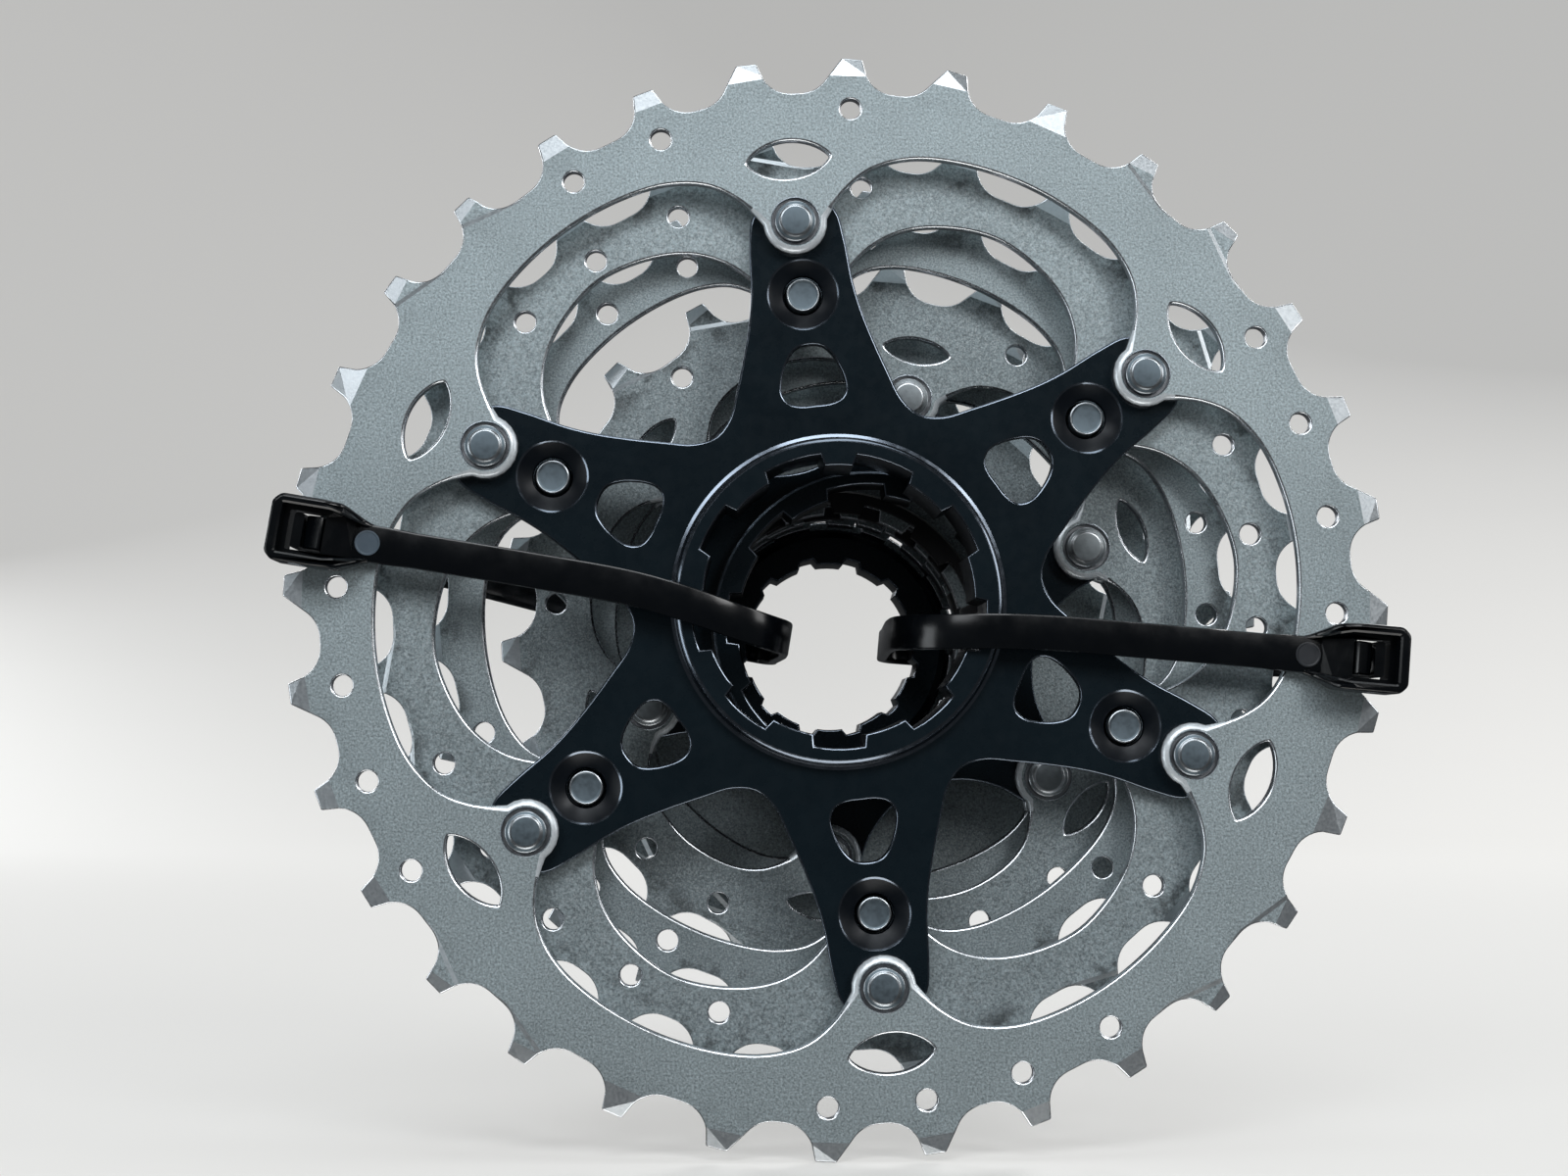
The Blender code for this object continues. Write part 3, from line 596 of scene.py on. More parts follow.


# Each ring's steel tone and amount of oily dirt near the roots. The tone falls for each ring further back,
# and the loose rings take the lowest: this is painted shade, standing in for the shadow that the rings in
# front cast.
STEEL_SHADED_TONES_AND_DIRT = {32: (0.55, 0.10), 28: (0.50, 0.68), 25: (0.46, 0.62)}
PRESSED = pressed_steel("pressed_steel", 0.78)
# A darker copy of the pressed facets for the rings behind the 32-tooth one: painted shade, for the shadow
# that the rings in front cast.
SHADED_PRESSED = pressed_steel("shaded_pressed_steel", 0.64)
# The pads' wide bevels: bare metal, made pale and less metallic so that the front lamps light it up, a
# painted highlight in place of the bright crescent reflection.
PALE_PAD_HIGHLIGHT = pressed_steel("pale_pad_highlight", 0.95, metallic=0.45)
CUT_EDGE = polished("cut_edge", (0.88, 0.92, 0.96), 0.19, 0.32)
# A darker copy of the cut edge for the rings behind the 32-tooth one: painted shade, for the shadow that
# the rings in front cast.
SHADED_CUT_EDGE = polished("shaded_cut_edge", (0.76, 0.80, 0.84), 0.20, 0.33)
CUT_WALL = polished("cut_wall", (0.50, 0.52, 0.55), 0.28, 0.45, scale=1500)
RIVET_FACE = polished("rivet_face", (0.19, 0.24, 0.275), 0.46, 0.60, scale=1500)
RIVET_RIM = polished("rivet_rim", (0.46, 0.50, 0.53), 0.26, 0.40)
PALE_RIVET_FACE = polished("pale_rivet_face", (0.34, 0.38, 0.40), 0.42, 0.56, scale=1500)
PALE_RIVET_RIM = polished("pale_rivet_rim", (0.72, 0.76, 0.79), 0.28, 0.42)
ANODISED = glossy_black("anodised", (0.005, 0.011, 0.016), (0.008, 0.016, 0.022), 0.24, 0.32, 0.2, 0.32)
ANODISED_EDGE = polished("anodised_edge", (0.17, 0.20, 0.24), 0.14, 0.24)
ANODISED_WALL = glossy_black(
    "anodised_wall", (0.003, 0.005, 0.008), (0.005, 0.008, 0.012), 0.3, 0.4, 0.2, 0.3
)
SPACER_BLACK = glossy_black(
    "spacer_black", (0.012, 0.012, 0.013), (0.022, 0.022, 0.024), 0.45, 0.6, 0.0, 0.4
)
NYLON = glossy_black(
    "nylon", (0.0012, 0.002, 0.003), (0.0025, 0.0035, 0.005), 0.16, 0.26, 0.0, 0.42, grain=420
)
GATE_MARKS = {
    "cable_tie_left": glossy_black(
        "pale_gate_mark", (0.07, 0.10, 0.13), (0.13, 0.17, 0.21), 0.4, 0.55, 0.0, 0.4, grain=900
    ),
    "cable_tie_right": glossy_black(
        "gate_mark", (0.014, 0.016, 0.020), (0.030, 0.034, 0.040), 0.35, 0.5, 0.0, 0.5, grain=900
    ),
}
CARRIER_FINISH = (ANODISED, ANODISED_EDGE, ANODISED_WALL)
SPACER_FINISH = (SPACER_BLACK,) * 3
NYLON_FINISH = (NYLON,) * 3


def steel_finish(teeth):
    # The lower tone of a ring further back is painted shade.
    tone, dirt = STEEL_SHADED_TONES_AND_DIRT.get(teeth, (0.40, 0.5))
    root = pitch_radius(teeth) - ROLLER_R
    # Rings behind the 32-tooth one take the darker copies of edge and facets, as painted shade.
    edge, facet = (CUT_EDGE, PRESSED) if teeth == TEETH[0] else (SHADED_CUT_EDGE, SHADED_PRESSED)
    return (blasted_steel(f"blasted_steel_{teeth}t", tone, dirt, root), edge, CUT_WALL, facet, PALE_PAD_HIGHLIGHT)


# ---- sprockets
def tooth_side(angle, way, step, pitch, tip, side, corner):
    """One side of a tooth, from the middle of its valley to its tip; `way` is -1 or 1."""
    moved, seat_end = side
    valley = angle + way * step / 2
    points = [around(valley, 0.0, pitch - ROLLER_R)]
    for k in range(SEAT_STEPS + 1):
        a = math.radians(seat_end * k / SEAT_STEPS)
        offset = -way * (moved + ROLLER_R * math.sin(a))
        points.append(around(valley, offset, pitch - ROLLER_R * math.cos(a)))
    edge = Vector(around(angle, corner, math.sqrt(tip**2 - corner**2)))
    down = (Vector(points[-1]) - edge).normalized()
    inwards = Vector(around(angle, -way, 0.0))
    points += [tuple(edge + down * 0.2), tuple(edge + (down + inwards) * 0.05)]
    points.append(tuple(edge + inwards * 0.16))
    return points


def tooth_outline(teeth):
    """The toothed outline, tooth by tooth; each starts in the middle of its valley."""
    step = 360 / teeth
    pitch, tip = pitch_radius(teeth), tip_radius(teeth)
    points = []
    for i in range(teeth):
        angle = PHASES[teeth] + i * step
        side, tip_from, tip_to, _ = TOOTH_KINDS[i % PATTERN]
        points += tooth_side(angle, -1, step, pitch, tip, side, tip_from)
        points += tooth_side(angle, 1, step, pitch, tip, STEEP, tip_to)[:0:-1]
    return points


def facet_depth(facets, t, height):
    """How far a tooth's face is cut back at a place beside and above the middle of its root."""
    depth = 0.0
    for start, slope, fall, deepest in facets:
        depth += min(deepest, max(0.0, fall * (height - start - slope * t)))
    fade = min(1.0, max(0.0, (FACETS_END - abs(t)) / FACETS_FADE))
    return min(DEEPEST_CUT, depth) * fade


def crease_tooth(piece, faces, angle, root, facets):
    """Cuts a tooth's faces along the lines where its facets start and where they stop falling."""
    along, up = polar(1.0, angle + 90), polar(1.0, angle)
    for start, slope, fall, deepest in facets:
        heights = [start] if deepest > SPROCKET_T else [start, start + deepest / fall]
        for height in heights:
            x, z = up[0] * (root + height), up[1] * (root + height)
            tangent = Vector((along[0] + slope * up[0], 0.0, along[1] + slope * up[1]))
            edges = {edge for face in faces for edge in face.edges}
            verts = {vert for face in faces for vert in face.verts}
            cut = bmesh.ops.bisect_plane(
                piece.mesh, geom=[*verts, *edges, *faces], dist=1e-6,
                plane_co=(x * MM, 0.0, z * MM), plane_no=tangent.cross((0.0, 1.0, 0.0)),
            )
            faces = [item for item in cut["geom"] if isinstance(item, bmesh.types.BMFace)]
    return faces


def toothed_edge(piece, teeth, near, far):
    """The toothed rim with its facets; returns a round ring just inside it on each face."""
    points = tooth_outline(teeth)
    step = 360 / teeth
    root = pitch_radius(teeth) - ROLLER_R
    sides = []
    for side, sign in ((near, 1), (far, -1)):
        rings = []
        for k in range(BEVEL_STEPS + 1):
            a = math.pi / 2 * k / BEVEL_STEPS
            moved = into_material(points, [TOOTH_BEVEL * (1 - math.sin(a))] * len(points), hole=False)
            rings.append(piece.ring(moved, side + sign * TOOTH_BEVEL * (1 - math.cos(a))))
        base = []
        for i in range(teeth):
            start = PHASES[teeth] + (i - 0.5) * step
            base += arc(root - ROOT_BAND, start, start + step, ROOT_STEPS)[:-1]
        sides.append((rings, piece.ring(base, side), sign))
    piece.band(sides[0][0][-1], sides[1][0][-1], WALL)
    for rings, base, sign in sides:
        whole_teeth = [tooth_faces(piece, rings, base, i, teeth) for i in range(teeth)]
        for i, faces in enumerate(whole_teeth):
            facets = TOOTH_KINDS[i % PATTERN][3] if sign > 0 else FAR_FACETS
            angle = PHASES[teeth] + i * step
            faces = crease_tooth(piece, faces, angle, root, facets)
            for vert in {vert for face in faces for vert in face.verts}:
                t, out = local(angle, (vert.co.x / MM, vert.co.z / MM))
                vert.co.y += sign * facet_depth(facets, t, out - root) * MM
            for face in faces:
                face.normal_update()
                level = abs(face.normal.y)
                if face.material_index == FACE and level < LEVEL:
                    face.material_index = FACET if level > STEPPED else EDGE
    return [with_cuts(piece, base) for _, base, _ in sides]


def with_cuts(piece, ring):
    """An open ring together with the points that cuts have put on its edges."""
    whole = []
    for start, end in zip(ring, ring[1:] + ring[:1]):
        whole.append(start)
        while not piece.mesh.edges.get((whole[-1], end)):
            last = whole[-1]
            nearby = [e.other_vert(last) for e in last.link_edges if len(e.link_faces) == 1]
            whole.append(min(nearby, key=lambda vert: (vert.co - end.co).length))
    return whole


def tooth_faces(piece, rings, base, i, teeth):
    """The flat face of one tooth and its rounded edge, before any facet is cut."""
    count, foot = len(rings[0]) // teeth, len(base) // teeth
    span = [k % len(rings[0]) for k in range(i * count, (i + 1) * count + 1)]
    under = [k % len(base) for k in range((i + 1) * foot, i * foot - 1, -1)]
    faces = [piece.mesh.faces.new([rings[0][k] for k in span] + [base[k] for k in under])]
    faces[0].material_index = FACE
    for a, b in zip(rings, rings[1:]):
        for k, following in zip(span, span[1:]):
            faces.append(piece.mesh.faces.new((a[k], a[following], b[following], b[k])))
            faces[-1].material_index = EDGE
            faces[-1].smooth = True
    return faces


def near_face(teeth):
    return TEETH.index(teeth) * LAYER_PITCH


def hole_places(teeth):
    """Where the small holes stand, counted in teeth: under them, or between them on the 22-tooth ring."""
    return [tooth + (0.5 if teeth == 22 else 0.0) for tooth in HOLE_TEETH.get(teeth, ())]


def ramp_valleys(teeth):
    """Valleys for the shift ramps, about eight teeth apart, where no hole is within a tooth."""
    chosen = []
    for first in range(2, teeth, PATTERN):
        for valley in (first + 0.5, first + 1.5, first + 2.5):
            turns = [(valley - place + teeth / 2) % teeth - teeth / 2 for place in hole_places(teeth)]
            if min(map(abs, turns), default=teeth) > RAMP_TO_HOLE:
                chosen.append(valley)
                break
    return chosen


def add_ramps(piece, teeth, far):
    """Shift ramps pressed into a far face, clear of the holes; returns their rings on that face."""
    rings = []
    for valley in ramp_valleys(teeth):
        points = ramp_pocket(teeth, PHASES[teeth] + valley * 360 / teeth)
        top = piece.ring(points, far)
        inner = into_material(points, [-RAMP_WALL] * len(points), hole=True)
        floor = piece.ring(inner, far - RAMP_DEPTH)
        piece.band(top, floor, EDGE)
        piece.fill(FACE, floor)
        rings.append(top)
    return rings


def pad_bevels(rim, centres, pad_r):
    """The bevel at each point of a rim, wide round the rivet pads."""
    bevels = []
    for point in rim:
        away = min(math.dist(point, centre) for centre in centres) - pad_r
        share = min(1.0, max(0.0, 1 - away / PAD_BEVEL_FADE)) ** 1.5
        bevels.append(EDGE_BEVEL + (PAD_BEVEL - EDGE_BEVEL) * share)
    return bevels


def ringed_sprocket(teeth, ear_r, pad_r, phase, body, counterbore):
    near, far = near_face(teeth), near_face(teeth) + SPROCKET_T
    piece = Piece()
    pairs = [toothed_edge(piece, teeth, near, far)]
    rim = eared_rim(teeth, ear_r, pad_r, phase)
    centres = [polar(ear_r, a) for a in rivet_angles(phase)]
    pairs.append(piece.edge(rim, near, far, pad_bevels(rim, centres, pad_r), far_bevel=EDGE_BEVEL))
    for angle, centre in zip(rivet_angles(phase), centres):
        if counterbore:
            bed = near + RECESS_DEPTH
            profile = (
                (HEAD_R + 0.16, near), (HEAD_R + 0.06, near + 0.10), (HEAD_R + 0.02, bed),
                (RIVET_HOLE_R, bed + 0.02), (RIVET_HOLE_R, far - 0.1), (RIVET_HOLE_R + 0.1, far),
            )
            pairs.append(piece.turned(profile, 40, (EDGE, WALL, WALL, WALL, EDGE), centre))
        else:
            pairs.append(piece.edge(circle(RIVET_HOLE_R, 32, centre), near, far, HOLE_BEVEL))
        if teeth in LENS:
            pairs.append(piece.edge(lens(teeth, angle), near, far, EDGE_BEVEL))
    for place in hole_places(teeth):
        centre = polar(HOLE_RING[teeth], PHASES[teeth] + place * 360 / teeth)
        pairs.append(piece.edge(circle(HOLE_R, 36, centre), near, far, HOLE_BEVEL))
    piece.plate(pairs, add_ramps(piece, teeth, far))
    node = f"sprocket_{teeth}t"
    piece.show(f"{node}_toothed", body, [node], steel_finish(teeth))


def splined_sprocket(teeth, boss):
    """A loose sprocket; a boss spaces it from its larger neighbour."""
    near, far = near_face(teeth), near_face(teeth) + SPROCKET_T
    piece = Piece()
    outer = toothed_edge(piece, teeth, near, far)
    start = near - LAYER_PITCH + SPROCKET_T + GAP if boss else near
    bore = piece.edge(splines(BORE_TURN[teeth]), start, far, 0.15)
    inner = bore[0]
    if boss:
        profile = (
            (BOSS_R - 0.3, start), (BOSS_R - 0.1, start + 0.1), (BOSS_R, start + 0.3),
            (BOSS_R, near - 0.35), (BOSS_R + 0.25, near),
        )
        top, inner = piece.turned(profile, 96, (EDGE, EDGE, WALL, WALL))
        piece.fill(FACE, top, bore[0])
    ramps = add_ramps(piece, teeth, far) if teeth > RAMPS_ABOVE else []
    piece.plate([outer, (inner, bore[1])], ramps)
    node = f"sprocket_{teeth}t"
    piece.show(f"{node}_toothed", f"loose_{node}", [node], steel_finish(teeth))


def spacer(larger, smaller):
    """The splined ring between two loose sprockets, with a shallow groove round it."""
    near, far = near_face(larger) + SPROCKET_T + GAP, near_face(smaller) - GAP
    middle = (near + far) / 2
    piece = Piece()
    profile = (
        (SPACER_R - 0.25, near), (SPACER_R, near + 0.25), (SPACER_R, middle - 0.4),
        (SPACER_R - 0.2, middle - 0.25), (SPACER_R - 0.2, middle + 0.25), (SPACER_R, middle + 0.4),
        (SPACER_R, far - 0.25), (SPACER_R - 0.25, far),
    )
    rim = piece.turned(profile, 96, FACE)
    bore = piece.edge(splines(SPACER_TURN[smaller]), near, far, 0.15)
    piece.plate([rim, bore])
    node = f"spacer_{smaller}_{larger}"
    piece.show(f"{node}_ring", f"loose_{node}", [node], SPACER_FINISH)


# ---- carriers
def large_carrier():
    near, far = SPROCKET_T + GAP, SPROCKET_T + GAP + ARM_T
    piece = Piece()
    outer = piece.edge(star(LARGE_ARM, LARGE_PHASE), near, far, 0.24, hole=False)
    hub_near = (
        (HUB_R + 0.55, near), (HUB_R + 0.18, near - 0.14), (HUB_R, near - 0.5), (HUB_R, 0.62),
        (HUB_R - 0.16, 0.34), (HUB_R - 0.34, 0.14), (HUB_R - 0.62, 0.0),
    )
    foot, front = piece.turned(hub_near, 144, (EDGE, WALL, WALL, EDGE, EDGE, EDGE))
    hub_far = (
        (HUB_R + 0.4, far), (HUB_R, far + 0.4), (HUB_R, HUB_LENGTH - 0.3), (HUB_R - 0.3, HUB_LENGTH),
    )
    far_foot, back = piece.turned(hub_far, 144, (WALL, WALL, EDGE))
    pairs = [outer, (foot, far_foot)]
    for angle in rivet_angles(LARGE_PHASE):
        sink = (
            (4.34, near), (4.22, near + 0.07), (4.1, near + 0.18), (2.66, near + 0.85),
            (2.44, near + 0.95), (2.32, far - 0.12), (2.4, far),
        )
        pairs += [
            piece.edge(arm_window(angle), near, far, 0.24),
            piece.edge(circle(RIVET_HOLE_R, 32, polar(OUTER_RIVET_R, angle)), near, far, 0.12),
            piece.turned(sink, 56, (EDGE, EDGE, WALL, WALL, WALL, WALL), polar(INNER_RIVET_R, angle)),
        ]
    piece.plate(pairs)
    bore = piece.edge(splines(), 0.0, HUB_LENGTH, 0.22)
    piece.fill(FACE, front, bore[0])
    piece.fill(FACE, back, bore[1])
    piece.show(
        "carrier_large_machined", "large_cluster", ["carrier_large"], CARRIER_FINISH
    )


def small_carrier():
    near = near_face(22) + SPROCKET_T + GAP
    far = near + ARM_T
    hub_near, hub_far = HUB_LENGTH + GAP, near_face(20) + SPROCKET_T
    piece = Piece()
    outer = piece.edge(star(SMALL_ARM, SMALL_PHASE), near, far, 0.24, hole=False)
    front_profile = (
        (SMALL_HUB_R + 0.3, near), (SMALL_HUB_R, near - 0.3), (SMALL_HUB_R, hub_near + 0.3),
        (SMALL_HUB_R - 0.3, hub_near),
    )
    foot, front = piece.turned(front_profile, 120, (WALL, WALL, EDGE))
    back_profile = (
        (SMALL_HUB_R + 0.3, far), (SMALL_HUB_R, far + 0.3), (SMALL_HUB_R, hub_far - 0.3),
        (SMALL_HUB_R - 0.3, hub_far),
    )
    far_foot, back = piece.turned(back_profile, 120, (WALL, WALL, EDGE))
    pairs = [outer, (foot, far_foot)]
    for angle in rivet_angles(SMALL_PHASE):
        pairs.append(piece.edge(circle(RIVET_HOLE_R, 32, polar(SMALL_RIVET_R, angle)), near, far, 0.12))
    piece.plate(pairs)
    bore = piece.edge(splines(BORE_TURN[22]), hub_near, hub_far, 0.2)
    piece.fill(FACE, front, bore[0])
    piece.fill(FACE, back, bore[1])
    piece.show(
        "carrier_small_machined", "small_cluster", ["carrier_small"], CARRIER_FINISH
    )


# ---- rivets and collars
def peened_head(face):
    """Profile of a rivet's near head, from its middle to the shank."""
    heights = (
        (0.01, 0.50), (1.64, 0.50), (1.78, 0.47), (1.92, 0.38), (2.04, 0.28), (2.32, 0.23),
        (2.44, 0.13), (2.48, -0.05), (2.48, -0.3), (SHANK_R, -0.34),
    )
    return [(r, face - h) for r, h in heights]


def far_head(face):
    """Profile of a rivet's far head, from the shank to its middle."""
    return [
        (SHANK_R, face), (HEAD_R, face), (HEAD_R, face + 0.2), (HEAD_R - 0.2, face + 0.42),
        (HEAD_R - 0.6, face + 0.5),
    ]


def rivet_mesh(name, profile, finishes, disc=RIVET_FACE, rim=RIVET_RIM):
    """A turned rivet, closed at both ends of its profile."""
    piece = Piece()
    first, last = piece.turned(profile, RIVET_SIDES, finishes)
    piece.fill(FACE, first)
    piece.fill(FACE, last)
    return piece.finished(name, (disc, rim, disc))


def collar_mesh():
    """The tube on an inner rivet, between the 28 and 25-tooth rings."""
    near, far = near_face(28) + SPROCKET_T + GAP, near_face(25) - GAP
    profile = (
        (PAD_R - 0.2, near), (PAD_R, near + 0.2), (PAD_R, far - 0.2), (PAD_R - 0.2, far),
        (RIVET_HOLE_R, far), (RIVET_HOLE_R, near),
    )
    tube = Piece()
    rings = [tube.ring(circle(r, RIVET_SIDES), y) for r, y in profile]
    tube.sweep(rings + rings[:1], WALL)
    return tube.finished("collar_tube", (RIVET_FACE, RIVET_RIM, RIVET_FACE))


def rivets():
    near_finish = [FACE, EDGE, EDGE, EDGE, WALL, EDGE, EDGE, WALL, WALL]
    far_finish = [WALL, EDGE, EDGE, EDGE]
    arm_far = SPROCKET_T + GAP + ARM_T
    outer = peened_head(0.0) + [(SHANK_R, arm_far - 0.2), (SHANK_R - 0.2, arm_far)]
    start = SPROCKET_T + GAP + 0.5
    inner = [
        (0.01, start + 0.14), (1.5, start + 0.13), (1.68, start + 0.10), (1.76, start + 0.02),
        (1.84, start), (1.95, start + 0.05), (SHANK_R, start + 0.2),
    ] + far_head(near_face(25) + SPROCKET_T + GAP)
    inner_finish = [FACE, FACE, FACE, EDGE, EDGE, EDGE, WALL, *far_finish]
    small = peened_head(near_face(22)) + far_head(near_face(20) + SPROCKET_T + GAP)
    small_mesh = rivet_mesh(
        "small_rivet", small, [*near_finish, WALL, *far_finish], PALE_RIVET_FACE, PALE_RIVET_RIM
    )
    meshes = (
        ("rivet_outer", rivet_mesh("outer_rivet", outer, [*near_finish, WALL, EDGE]), OUTER_RIVET_R),
        ("rivet_inner", rivet_mesh("inner_rivet", inner, inner_finish), INNER_RIVET_R),
        ("collar", collar_mesh(), INNER_RIVET_R),
        ("rivet_small", small_mesh, SMALL_RIVET_R),
    )
    for node, data, radius in meshes:
        small_one = node == "rivet_small"
        phase = SMALL_PHASE if small_one else LARGE_PHASE
        body = "small_cluster" if small_one else "large_cluster"
        for i in range(ARMS):
            name = f"{node}_{i + 1}"
            put(f"{name}_formed", data, body, [name], polar(radius, phase + i * ARM_DEG))


# ---- lockring and washer
def lockring():
    start = near_face(11) + SPROCKET_T + GAP + WASHER_T + GAP
    end = start + FLANGE_T
    step = 360 / NOTCHES
    inner = []
    for i in range(NOTCHES):
        inner += arc(NOTCH_TIP_R, (i - 0.28) * step, (i + 0.28) * step, 4)
        inner += arc(NOTCH_R, (i + 0.36) * step, (i + 0.64) * step, 3)
    near = start - THREAD_LENGTH
    piece = Piece()
    bore = piece.edge(inner, near, end, 0.2)
    flange = (
        (13.6, end), (14.0, end - 0.12), (14.6, end - 0.12), (15.0, end), (16.5, end),
        (16.9, end - 0.2), (FLANGE_R, end - 0.6), (FLANGE_R, start + 0.1), (FLANGE_R - 0.1, start),
        (THREAD_R - 0.5, start),
    )
    sleeve = [(THREAD_R - 0.5, start - 0.5)]
    for k in range(5):
        y = start - 0.7 - k
        sleeve += [(THREAD_R, y - 0.3), (THREAD_R, y - 0.4), (THREAD_R - 0.45, y - 0.85)]
    sleeve.append((THREAD_R - 0.8, near))
    profile = [*flange, *sleeve]
    finishes = [WALL, WALL, WALL, FACE] + [EDGE] * 2 + [WALL] * (len(profile) - 7)
    face, thread = piece.turned(profile, 120, finishes)
    piece.fill(FACE, face, bore[1])
    piece.fill(FACE, thread, bore[0])
    piece.show("lockring_threaded", "loose_lockring", ["lockring"], CARRIER_FINISH)
    thin = Piece()
    near, far = start - GAP - WASHER_T, start - GAP
    rim = thin.edge(circle(FLANGE_R - 0.2, 96), near, far, 0.1, hole=False)
    hole = thin.edge(circle(KEY_TIP_R, 96), near, far, 0.1)
    thin.plate([rim, hole])
    thin.show("lockring_washer_thin", "loose_lockring_washer", ["lockring_washer"],
              steel_finish(11))


# ---- cable ties
def tie_spot(tie, out, across):
    x, z = around(tie["towards"], across, out)
    return (tie["foot"][0] + x, tie["foot"][1] + z)


def strap_route(tie):
    """The strap's middle line, as distance outwards, Y and distance sideways."""
    stops = [(out + tie["reach"] * reach, y, tie["droop"] * droop) for out, y, reach, droop in TIE_ROUTE]
    padded = [stops[0], *stops, stops[-1]]
    route = []
    for p0, p1, p2, p3 in zip(padded, padded[1:], padded[2:], padded[3:]):
        steps = max(1, round(math.dist(p1, p2) / STRAP_STEP))
        route += [spline_point(p0, p1, p2, p3, k / steps) for k in range(steps)]
    return route + [stops[-1]]


def strap_section(half_w, half_t, ratchet):
    """A flat section with rounded corners, and a groove in its inner side."""
    section = []
    for turn in range(0, 360, 30):
        quarter, inside = divmod(turn, 90)
        a = math.radians(90 * quarter + inside * 90 / 60)
        cx = (half_w - STRAP_CORNER) * (1 if quarter in (0, 3) else -1)
        cy = (half_t - STRAP_CORNER) * (1 if quarter in (0, 1) else -1)
        section.append((cx + STRAP_CORNER * math.cos(a), cy + STRAP_CORNER * math.sin(a)))
    bed, lip = RATCHET_HALF, RATCHET_HALF + RATCHET_LIP
    groove = [(-lip, -half_t), (-bed, ratchet - half_t), (bed, ratchet - half_t), (lip, -half_t)]
    return section[:9] + groove + section[9:]


def strap(name, tie):
    """The strap, with ratchet teeth on its inner side between the head and the far bend."""
    route = strap_route(tie)
    piece = Piece()
    travelled, rings = 0.0, []
    for i, (out, y, aside) in enumerate(route):
        before, after = route[max(i - 1, 0)], route[min(i + 1, len(route) - 1)]
        length = math.dist(before[:2], after[:2])
        travelled += math.dist(route[i - 1], route[i]) if i else 0.0
        normal = ((after[1] - before[1]) / length, -(after[0] - before[0]) / length)
        near_run = i < len(route) // 4
        flare = min(1.0, max(0.0, (out - FLARE_FROM) / FLARE_LENGTH)) if near_run else 0.0
        ratchet = RATCHET_DEPTH * (i % 2) if RATCHET_FROM < travelled < RATCHET_TO else 0.0
        section = strap_section(STRAP_W / 2 + FLARE * flare, STRAP_T / 2 - STRAP_EASE, ratchet)
        spots, depths = [], []
        for across, thick in section:
            spots.append(tie_spot(tie, out - thick * normal[0], aside + across))
            depths.append(y - thick * normal[1])
        rings.append(piece.ring(spots, depths))
    for end in piece.sweep(rings, FACE):
        cap = piece.mesh.faces.new(end)
        cap.smooth = False
    piece.show(f"{name}_strap", "large_cluster", [name], NYLON_FINISH)


def head_top(out):
    """Depth of the head's near face, which rises out of the strap."""
    for (o0, y0), (o1, y1) in zip(HEAD_TOP, HEAD_TOP[1:]):
        if out <= o1:
            return y0 + (y1 - y0) * max(0.0, (out - o0) / (o1 - o0))
    return TIE_NEAR


def tie_outline(half, corner):
    """The closed outline of a shape given by its half widths, as (out, across)."""
    return smooth_corners([(o, -a) for o, a in half] + [(o, a) for o, a in reversed(half)], corner)


def tie_head(name, tie):
    """The locking head: walls that rise beside a channel, and a slot through it."""
    piece = Piece()
    outline, channel, slot = tie_outline(HEAD, 0.45), tie_outline(CHANNEL, 0.25), tie_outline(SLOT, 0.25)

    def ring(points, depths, amount=0.0, hole=True):
        moved = into_material(points, [amount] * len(points), hole)
        return piece.ring([tie_spot(tie, o, a) for o, a in moved], depths)

    bevel = 0.4
    rings = []
    for k in range(4):
        a = math.pi / 2 * k / 3
        depth = [head_top(o) + bevel * (1 - math.cos(a)) for o, _ in outline]
        rings.append(ring(outline, depth, bevel * (1 - math.sin(a)), hole=False))
    rings.append(ring(outline, TIE_FAR - 0.3, hole=False))
    rings.append(ring(outline, TIE_FAR, 0.3, hole=False))
    piece.sweep(rings, FACE)
    lip = ring(channel, [head_top(o) for o, _ in channel], 0.22)
    edge = ring(channel, [head_top(o) + 0.2 for o, _ in channel])
    floor_y = [-1.5 - 2.2 * min(1.0, max(0.0, (o - 56.6) / 2.6)) for o, _ in channel]
    floor = ring(channel, [max(f, head_top(o) + 0.3) for f, (o, _) in zip(floor_y, channel)], -0.1)
    piece.sweep([lip, edge, floor], FACE)
    mouth, inside = ring(slot, -3.7), ring(slot, TIE_FAR)
    piece.band(mouth, inside, FACE)
    piece.fill(FACE, rings[0], lip)
    piece.fill(FACE, floor, mouth)
    piece.fill(FACE, rings[-1], inside)
    piece.show(f"{name}_head", "large_cluster", [name], NYLON_FINISH)


def tie_pawl(name, tie):
    """The sloped wedge in the head's slot, which grips the strap."""
    piece = Piece()
    wedge = tie_outline(PAWL, 0.2)
    tops = [-4.75 + 1.4 * (o - 60.15) / 2.05 for o, _ in wedge]
    spots = [tie_spot(tie, o, a) for o, a in wedge]
    inner = [tie_spot(tie, o, a) for o, a in into_material(wedge, [0.18] * len(wedge), hole=False)]
    upper = piece.ring(inner, [y - 0.1 for y in tops])
    rim = piece.ring(spots, [y + 0.1 for y in tops])
    base = piece.ring(spots, -1.3)
    piece.sweep([upper, rim, base], FACE)
    piece.fill(FACE, upper)
    piece.fill(FACE, base)
    piece.show(f"{name}_pawl", "large_cluster", [name], NYLON_FINISH)


def gate_mark(name, tie):
    """The small round mark that moulding leaves on the strap, beside the head."""
    piece = Piece()
    surface = -1.15 - STRAP_T / 2
    profile = ((1.2, surface - 0.01), (1.34, surface - 0.09), (1.46, surface - 0.07), (1.5, surface + 0.4))
    for end in piece.turned(profile, 40, FACE, tie_spot(tie, 55.2, 0.0)):
        piece.fill(FACE, end)
    piece.show(f"{name}_gate_mark", "large_cluster", [name], (GATE_MARKS[name],) * 3)


